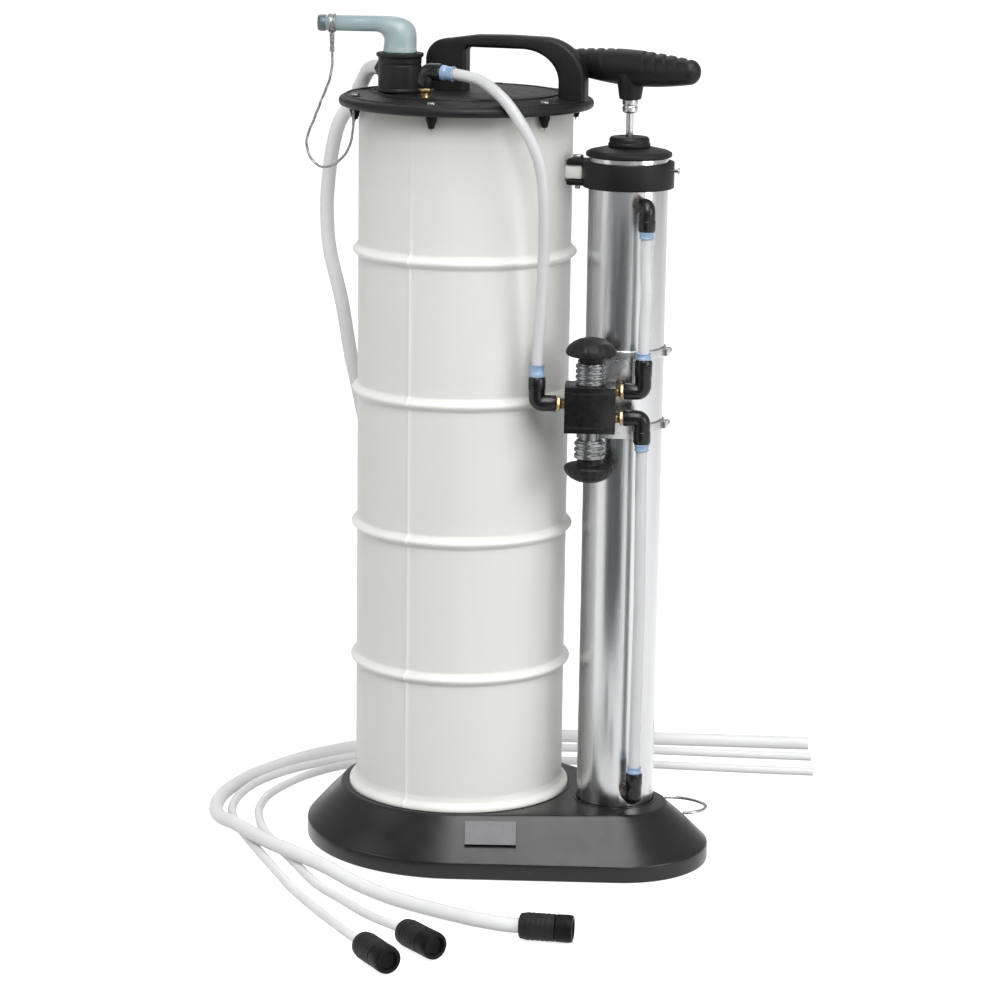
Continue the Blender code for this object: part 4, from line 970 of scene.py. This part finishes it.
# ---- hand pump ----
def build_pump():
    wall = [(0.033, 0.0463), (PUMP_RADIUS, 0.0463), (PUMP_RADIUS, 0.634), (0.033, 0.634)]
    tube = piece("pump_barrel", turned(wall, 160, ring=True), ALUMINIUM, nodes="pump_tube", at=PUMP)
    for height in PUMP_PORTS:
        inside, outside = (PUMP + toward(PORT_SIDE, reach, height) for reach in (0.025, 0.045))
        carve(tube, rod(inside, outside, PORT_RADIUS))
    bore = 0.0036
    cap = [
        (bore, 0.616), (0.0327, 0.616), (0.0327, 0.6343), (0.0372, 0.6343), (0.0378, 0.6352),
        (0.0376, 0.6378), (0.034, 0.6396), (0.029, 0.6406), (0.023, 0.642), (0.02, 0.6424),
        (bore, 0.6424),
    ]
    piece("pump_head", turned(cap, 96, ring=True), SATIN, nodes="pump_cap", at=PUMP)
    gland = [
        (bore, 0.6427), (0.0185, 0.6427), (0.0185, 0.6455), (0.0176, 0.6462), (0.0176, 0.649),
        (0.0165, 0.6512), (0.009, 0.652), (0.0085, 0.6514), (bore, 0.6514),
    ]
    piece("gland_nut", turned(gland, 96, ring=True, shape=knurl(0.016, 0.00035, 36)), SATIN,
          nodes="rod_gland", at=PUMP)
    shaft = [
        (0, 0.0933), (0.0032, 0.0933), (0.0032, 0.6718), (0.006, 0.6722), (0.0068, 0.6736),
        (0.0068, 0.677), (0.0062, 0.6776), (0.0062, 0.6786), (0.0068, 0.6792), (0.0068, 0.6834),
        (0, 0.6834),
    ]
    piece("pump_shaft", turned(shaft, 40, radius=0.0004), STEEL, "grip", "pump_rod", PUMP)


def knurl(least, depth, count):
    """A shape for turned(): even notches round every radius above the least one."""
    return lambda angle, r, z: r - depth * (0.5 - 0.5 * cos(count * angle)) if r > least else r


def grip_section(s):
    """Half height, half width and centre height of the grip's bar at s, from -1 to 1."""
    swell = max(0, cos(s * pi / 2)) ** 0.9
    return 0.0095 + 0.0062 * swell, 0.0088 + 0.0032 * swell, 0.711 + 0.0012 * (1 - swell)


def build_grip():
    """The T-grip's bar has slanting finger grooves across its top on both halves."""
    rings = []
    steps, count = 110, 48
    for i in range(steps + 1):
        s = -1.0 + 2.0 * i / steps
        x = s * 0.0785
        tall, wide, z = grip_section(s)
        ending = max(0, (abs(s) - 0.9) / 0.1)
        taper = sqrt(max(0, 1 - ending**2 * 0.9))
        ring = []
        for k in range(count):
            a = 2 * pi * k / count
            across, up = cos(a), sin(a)
            wave = (abs(x) + 0.0065 * across * (1 if x > 0 else -1)) / 0.0122
            groove = exp(-(((wave - floor(wave)) - 0.5) / 0.17) ** 2)
            fade = min(1.0, max(0, up + 0.15) * 1.6) * min(1.0, max(0, (abs(x) - 0.016) / 0.004))
            fade *= min(1.0, max(0, (0.07 - abs(x)) / 0.004))
            size = taper * (1 - 0.105 * groove * fade)
            ring.append((x, wide * across * size, z + tall * up * size))
        rings.append(ring)
    piece("grip_bar", loft(rings, sharp=55.0), SATIN, "grip", "t_grip", PUMP, GRIP_TURN)
    stem = [
        (0, 0.6837), (0.0088, 0.6837), (0.0094, 0.6842), (0.0099, 0.686), (0.0112, 0.695),
        (0.0122, 0.7),
    ]
    piece("grip_stem", turned(stem + [(0.0126, 0.706), (0, 0.706)], 48), SATIN, "grip", at=PUMP)


def build_clamp():
    inner, spot = PUMP_RADIUS + GAP, toward(PUMP_SIDE, CLAMP_REACH)
    ring = [(inner, 0.6072), (0.04, 0.6072), (0.04, 0.6302), (inner, 0.6302)]
    ring = turned(ring, 144, ring=True, radius=0.0012)
    piece("clamp_ring", ring, SATIN, nodes="clamp_band", at=PUMP)
    for i, (low, high) in enumerate(((0.6072, 0.612), (0.625, 0.6302))):
        plate = box(0.0375, 0.054, -0.01, 0.01, low, high)
        plate = piece(f"clamp_ear_{i + 1}", plate, SATIN, at=PUMP, turn=PUMP_SIDE + pi)
        soften(plate, 0.0014)
        carve(plate, upright(spot, 0.59, 0.65, BOLT_HOLE))
    bolt = [(0, 0.6035), (0.0022, 0.6035), (0.0025, 0.604), (0.0025, 0.6305), (0, 0.6305)]
    piece("clamp_screw", turned(bolt, 24, radius=0), STEEL, nodes="clamp_bolt", at=spot)
    head = piece("clamp_screw_head", disc(0.0048, 0.6305, 0.6335, 6), STEEL, at=spot)
    soften(head, 0.0005, 2, 30.0)
    way = toward(BAND_SIDE, 1.0)
    stub = [(0, 0), (0.0015, 0), (0.0015, 0.004), (0.0026, 0.0042), (0.0026, 0.0056), (0, 0.006)]
    spot = PUMP + way * 0.0396 + Vector((0, 0, 0.623))
    piece("clamp_stub", turned(stub, 24, radius=0.0002), STEEL, at=spot, way=way)


def build_bracket():
    plate = box(-0.0404, 0.008, -0.0386, -0.0358, 0.39, 0.46)
    plate = piece("bracket_plate", plate, STEEL, nodes="valve_bracket", at=PUMP)
    carve(plate, box(-0.005, 0.008, -0.0386, -0.0358, 0.45, 0.4676), PUMP, operation="UNION")
    soften(plate, 0.0007, 2)
    inner = PUMP_RADIUS + GAP
    for i, height in enumerate((0.4636, 0.3985)):
        ring = [
            (inner, height - 0.004), (0.0362, height - 0.004), (0.0366, height - 0.0032),
            (0.0366, height + 0.0032), (0.0362, height + 0.004), (inner, height + 0.004),
        ]
        band = turned(ring, 144, ring=True, radius=0.0003)
        piece(f"bracket_band_{i + 1}", band, STEEL, at=PUMP)
        block = box(0.036, 0.04, -0.0052, 0.0052, height - 0.0034, height + 0.0034)
        block = piece(f"band_lock_{i + 1}", block, STEEL, at=PUMP, turn=BAND_SIDE)
        soften(block, 0.0008, 2)
        spot = PUMP + toward(BAND_SIDE, 0.0381, height) + toward(BAND_ACROSS, 0.004)
        screw = [
            (0, 0), (0.0017, 0), (0.0017, 0.0042), (0.0026, 0.0042), (0.0026, 0.0062), (0, 0.0062),
        ]
        screw = turned(screw, 20, radius=0.0002)
        piece(f"band_screw_{i + 1}", screw, STEEL, at=spot, way=toward(BAND_ACROSS, 1.0))


# ---- change-over valve ----
def build_valve():
    body = box(-VALVE_HALF, VALVE_HALF, -0.017, 0.017, -0.0203, 0.0203)
    body = piece("valve_block", body, GLOSS, nodes="valve_body", at=VALVE)
    for z in (-0.015, 0.015):
        carve(body, box(-0.03, 0.03, -0.0175, -0.0162, z - 0.0005, z + 0.0005), VALVE)
    soften(body, 0.0009, 2, 40.0)
    carve(body, rod(VALVE - Vector((0, 0, 0.05)), VALVE + Vector((0, 0, 0.05)), 0.0083))
    right, left = (VALVE_RIGHT, 1), (VALVE_LEFT, -1)
    for (x, out), z in ((right, UPPER_PORT_Z), (right, LOWER_PORT_Z), (left, TANK_PORT_Z)):
        hole = rod((x - out * 0.009, LINE_Y, z), (x + out * 0.01, LINE_Y, z), PORT_RADIUS)
        carve(body, hole)
    spool = [(0, -0.0443), (0.0133, -0.0443)] + ring_grooves(-0.0443, -0.0285, 3)
    spool += [(0.008, -0.0285), (0.008, 0.0208), (0.0133, 0.0208)] + ring_grooves(0.0208, 0.0396, 4)
    spool += [(0, 0.0396)]
    piece("valve_stem", turned(spool, 72, radius=0.0003), DARK_STEEL, "spool", "valve_spool", VALVE)
    dome = [
        (0, 0), (0.0105, 0), (0.0105, 0.0055), (0.02, 0.006), (0.0218, 0.0072), (0.0222, 0.009),
        (0.0216, 0.0118), (0.0196, 0.0148), (0.016, 0.0178), (0.011, 0.0203), (0.0056, 0.0216),
        (0, 0.022),
    ]
    notches = knurl(0.019, 0.00055, 20)
    knob = turned(dome, 120, radius=0.0009, shape=notches)
    piece("knob_top", knob, SATIN, "spool", "valve_knob_upper", VALVE + Vector((0, 0, 0.0399)))
    knob = turned([(r, -z) for r, z in dome], 120, radius=0.0009, shape=notches)
    piece("knob_bottom", knob, SATIN, "spool", "valve_knob_lower", VALVE - Vector((0, 0, 0.0446)))


def ring_grooves(low, high, count):
    """The outline of turned rings up a neck, from one height to another."""
    points = []
    pitch = (high - low) / count
    for i in range(count):
        z = low + pitch * i
        points += [
            (0.0133, z + pitch * 0.16), (0.0133, z + pitch * 0.62), (0.0117, z + pitch * 0.7),
            (0.0117, z + pitch * 0.98),
        ]
    return points


# ---- small pieces and carried-over nodes ----
def build_hook():
    route = [
        (0.208, -0.0235, 0.0312), (0.218, -0.0205, 0.0308), (0.2262, -0.012, 0.0305),
        (0.229, 0.001, 0.03), (0.224, 0.0115, 0.03), (0.215, 0.0195, 0.03), (0.204, 0.024, 0.03),
        (0.192, 0.0245, 0.03), (0.181, 0.0215, 0.03),
    ]
    route = smooth_route(route + [(0.174, 0.017, 0.03)], 0.0016)
    mesh = sweep(route, [0.0016] * len(route), 16)
    piece("hook_wire", mesh, STEEL, nodes="tube_hook")


def dress_nodes():
    """Materials for the CAD nodes that stay as they are."""
    skins = {
        "base_mat": RUBBER, "name_plate": PLATE, "tank_gasket": RUBBER, "spout_oring": RUBBER,
        "float_cage": SATIN, "float": MILKY, "pump_foot": SATIN, "piston": SATIN,
        "piston_seal": RUBBER,
    }
    for name, skin in skins.items():
        node = NODES[name]
        node.data.materials.clear()
        node.data.materials.append(skin)


# ---- studio ----
def build_stage(name, mesh, colour, roughness, glow, unseen_by, specular=0.5):
    """A plain studio surface, which the named kinds of ray don't meet."""
    made = add(name, mesh)
    skin = bpy.data.materials.new(name)
    skin.use_nodes = True
    shader = skin.node_tree.nodes["Principled BSDF"]
    shader.inputs["Base Color"].default_value = (*colour, 1.0)
    shader.inputs["Roughness"].default_value = roughness
    shader.inputs["Specular IOR Level"].default_value = specular
    shader.inputs["Emission Color"].default_value = (*WHITE, 1.0)
    shader.inputs["Emission Strength"].default_value = glow
    made.data.materials.append(skin)
    for ray in unseen_by:
        setattr(made, f"visible_{ray}", False)
    return made


def build_studio():
    """The floor, a white wall far round it, a card that only shiny surfaces show, and lamps."""
    scene = bpy.context.scene
    scene.view_settings.view_transform = "Standard"
    world = bpy.data.worlds.new("studio")
    world.use_nodes = True
    back = world.node_tree.nodes["Background"]
    back.inputs["Color"].default_value = (*WHITE, 1.0)
    back.inputs["Strength"].default_value = 0.5
    scene.world = world
    ground = prism([(-16, -16), (16, -16), (16, 24), (-16, 24)], -0.02, -0.0002)
    build_stage("floor", ground, (0.55, 0.55, 0.55), 0.9, 0.81, ("diffuse",), 0.1)
    wall = [(15.0, -0.01), (15.1, -0.01), (15.1, 14.0), (15.0, 14.0)]
    wall = turned(wall, 96, ring=True, radius=0)
    build_stage("backdrop", wall, (0.95, 0.95, 0.95), 1.0, 0.9, ("diffuse", "glossy", "shadow"))
    unseen_by = ("camera", "diffuse", "shadow", "transmission")
    card = box(-0.26, 0.26, -0.01, 0.01, 0, 0.6)
    card = build_stage("flag", card, (0.23, 0.24, 0.26), 1.0, 0, unseen_by)
    card.location = (-0.0355, -0.55, 0)
    card.rotation_euler = (0, 0, radians(-19.5))
    for name, place, aim, size, power in (
        ("key", (0.35, -2.5, 2.7), (0, 0, 0.35), 1.5, 80.0),
        ("sheen", (0.27, -0.62, 1.97), (0.1, -0.12, 0.03), 1.0, 21.0),
        ("side", (-2.6, -1.0, 1.6), (0, 0, 0.4), 1.6, 19.0),
        ("fill", (2.4, -1.5, 1.3), (0.1, 0, 0.4), 1.4, 38.0),
        ("rear", (-0.6, 1.8, 2.4), (0.05, 0, 0.4), 1.6, 14.0),
    ):
        lamp = add(name, bpy.data.lights.new(name, "AREA"))
        lamp.data.energy = power
        lamp.data.size = size
        lamp.location = place
        lamp.rotation_euler = (Vector(place) - Vector(aim)).to_track_quat("Z", "Y").to_euler()
        lamp.visible_diffuse = name != "sheen"  # the sheen lamp lights gloss only


build_camera()
build_hoses()
build_air_lines()
for elbow in ELBOWS:
    build_elbow(*elbow)
build_base()
build_tank()
build_lid()
build_handle()
build_socket()
build_spout()
build_lanyard()
build_pump()
build_grip()
build_clamp()
build_bracket()
build_valve()
build_hook()
dress_nodes()
build_studio()
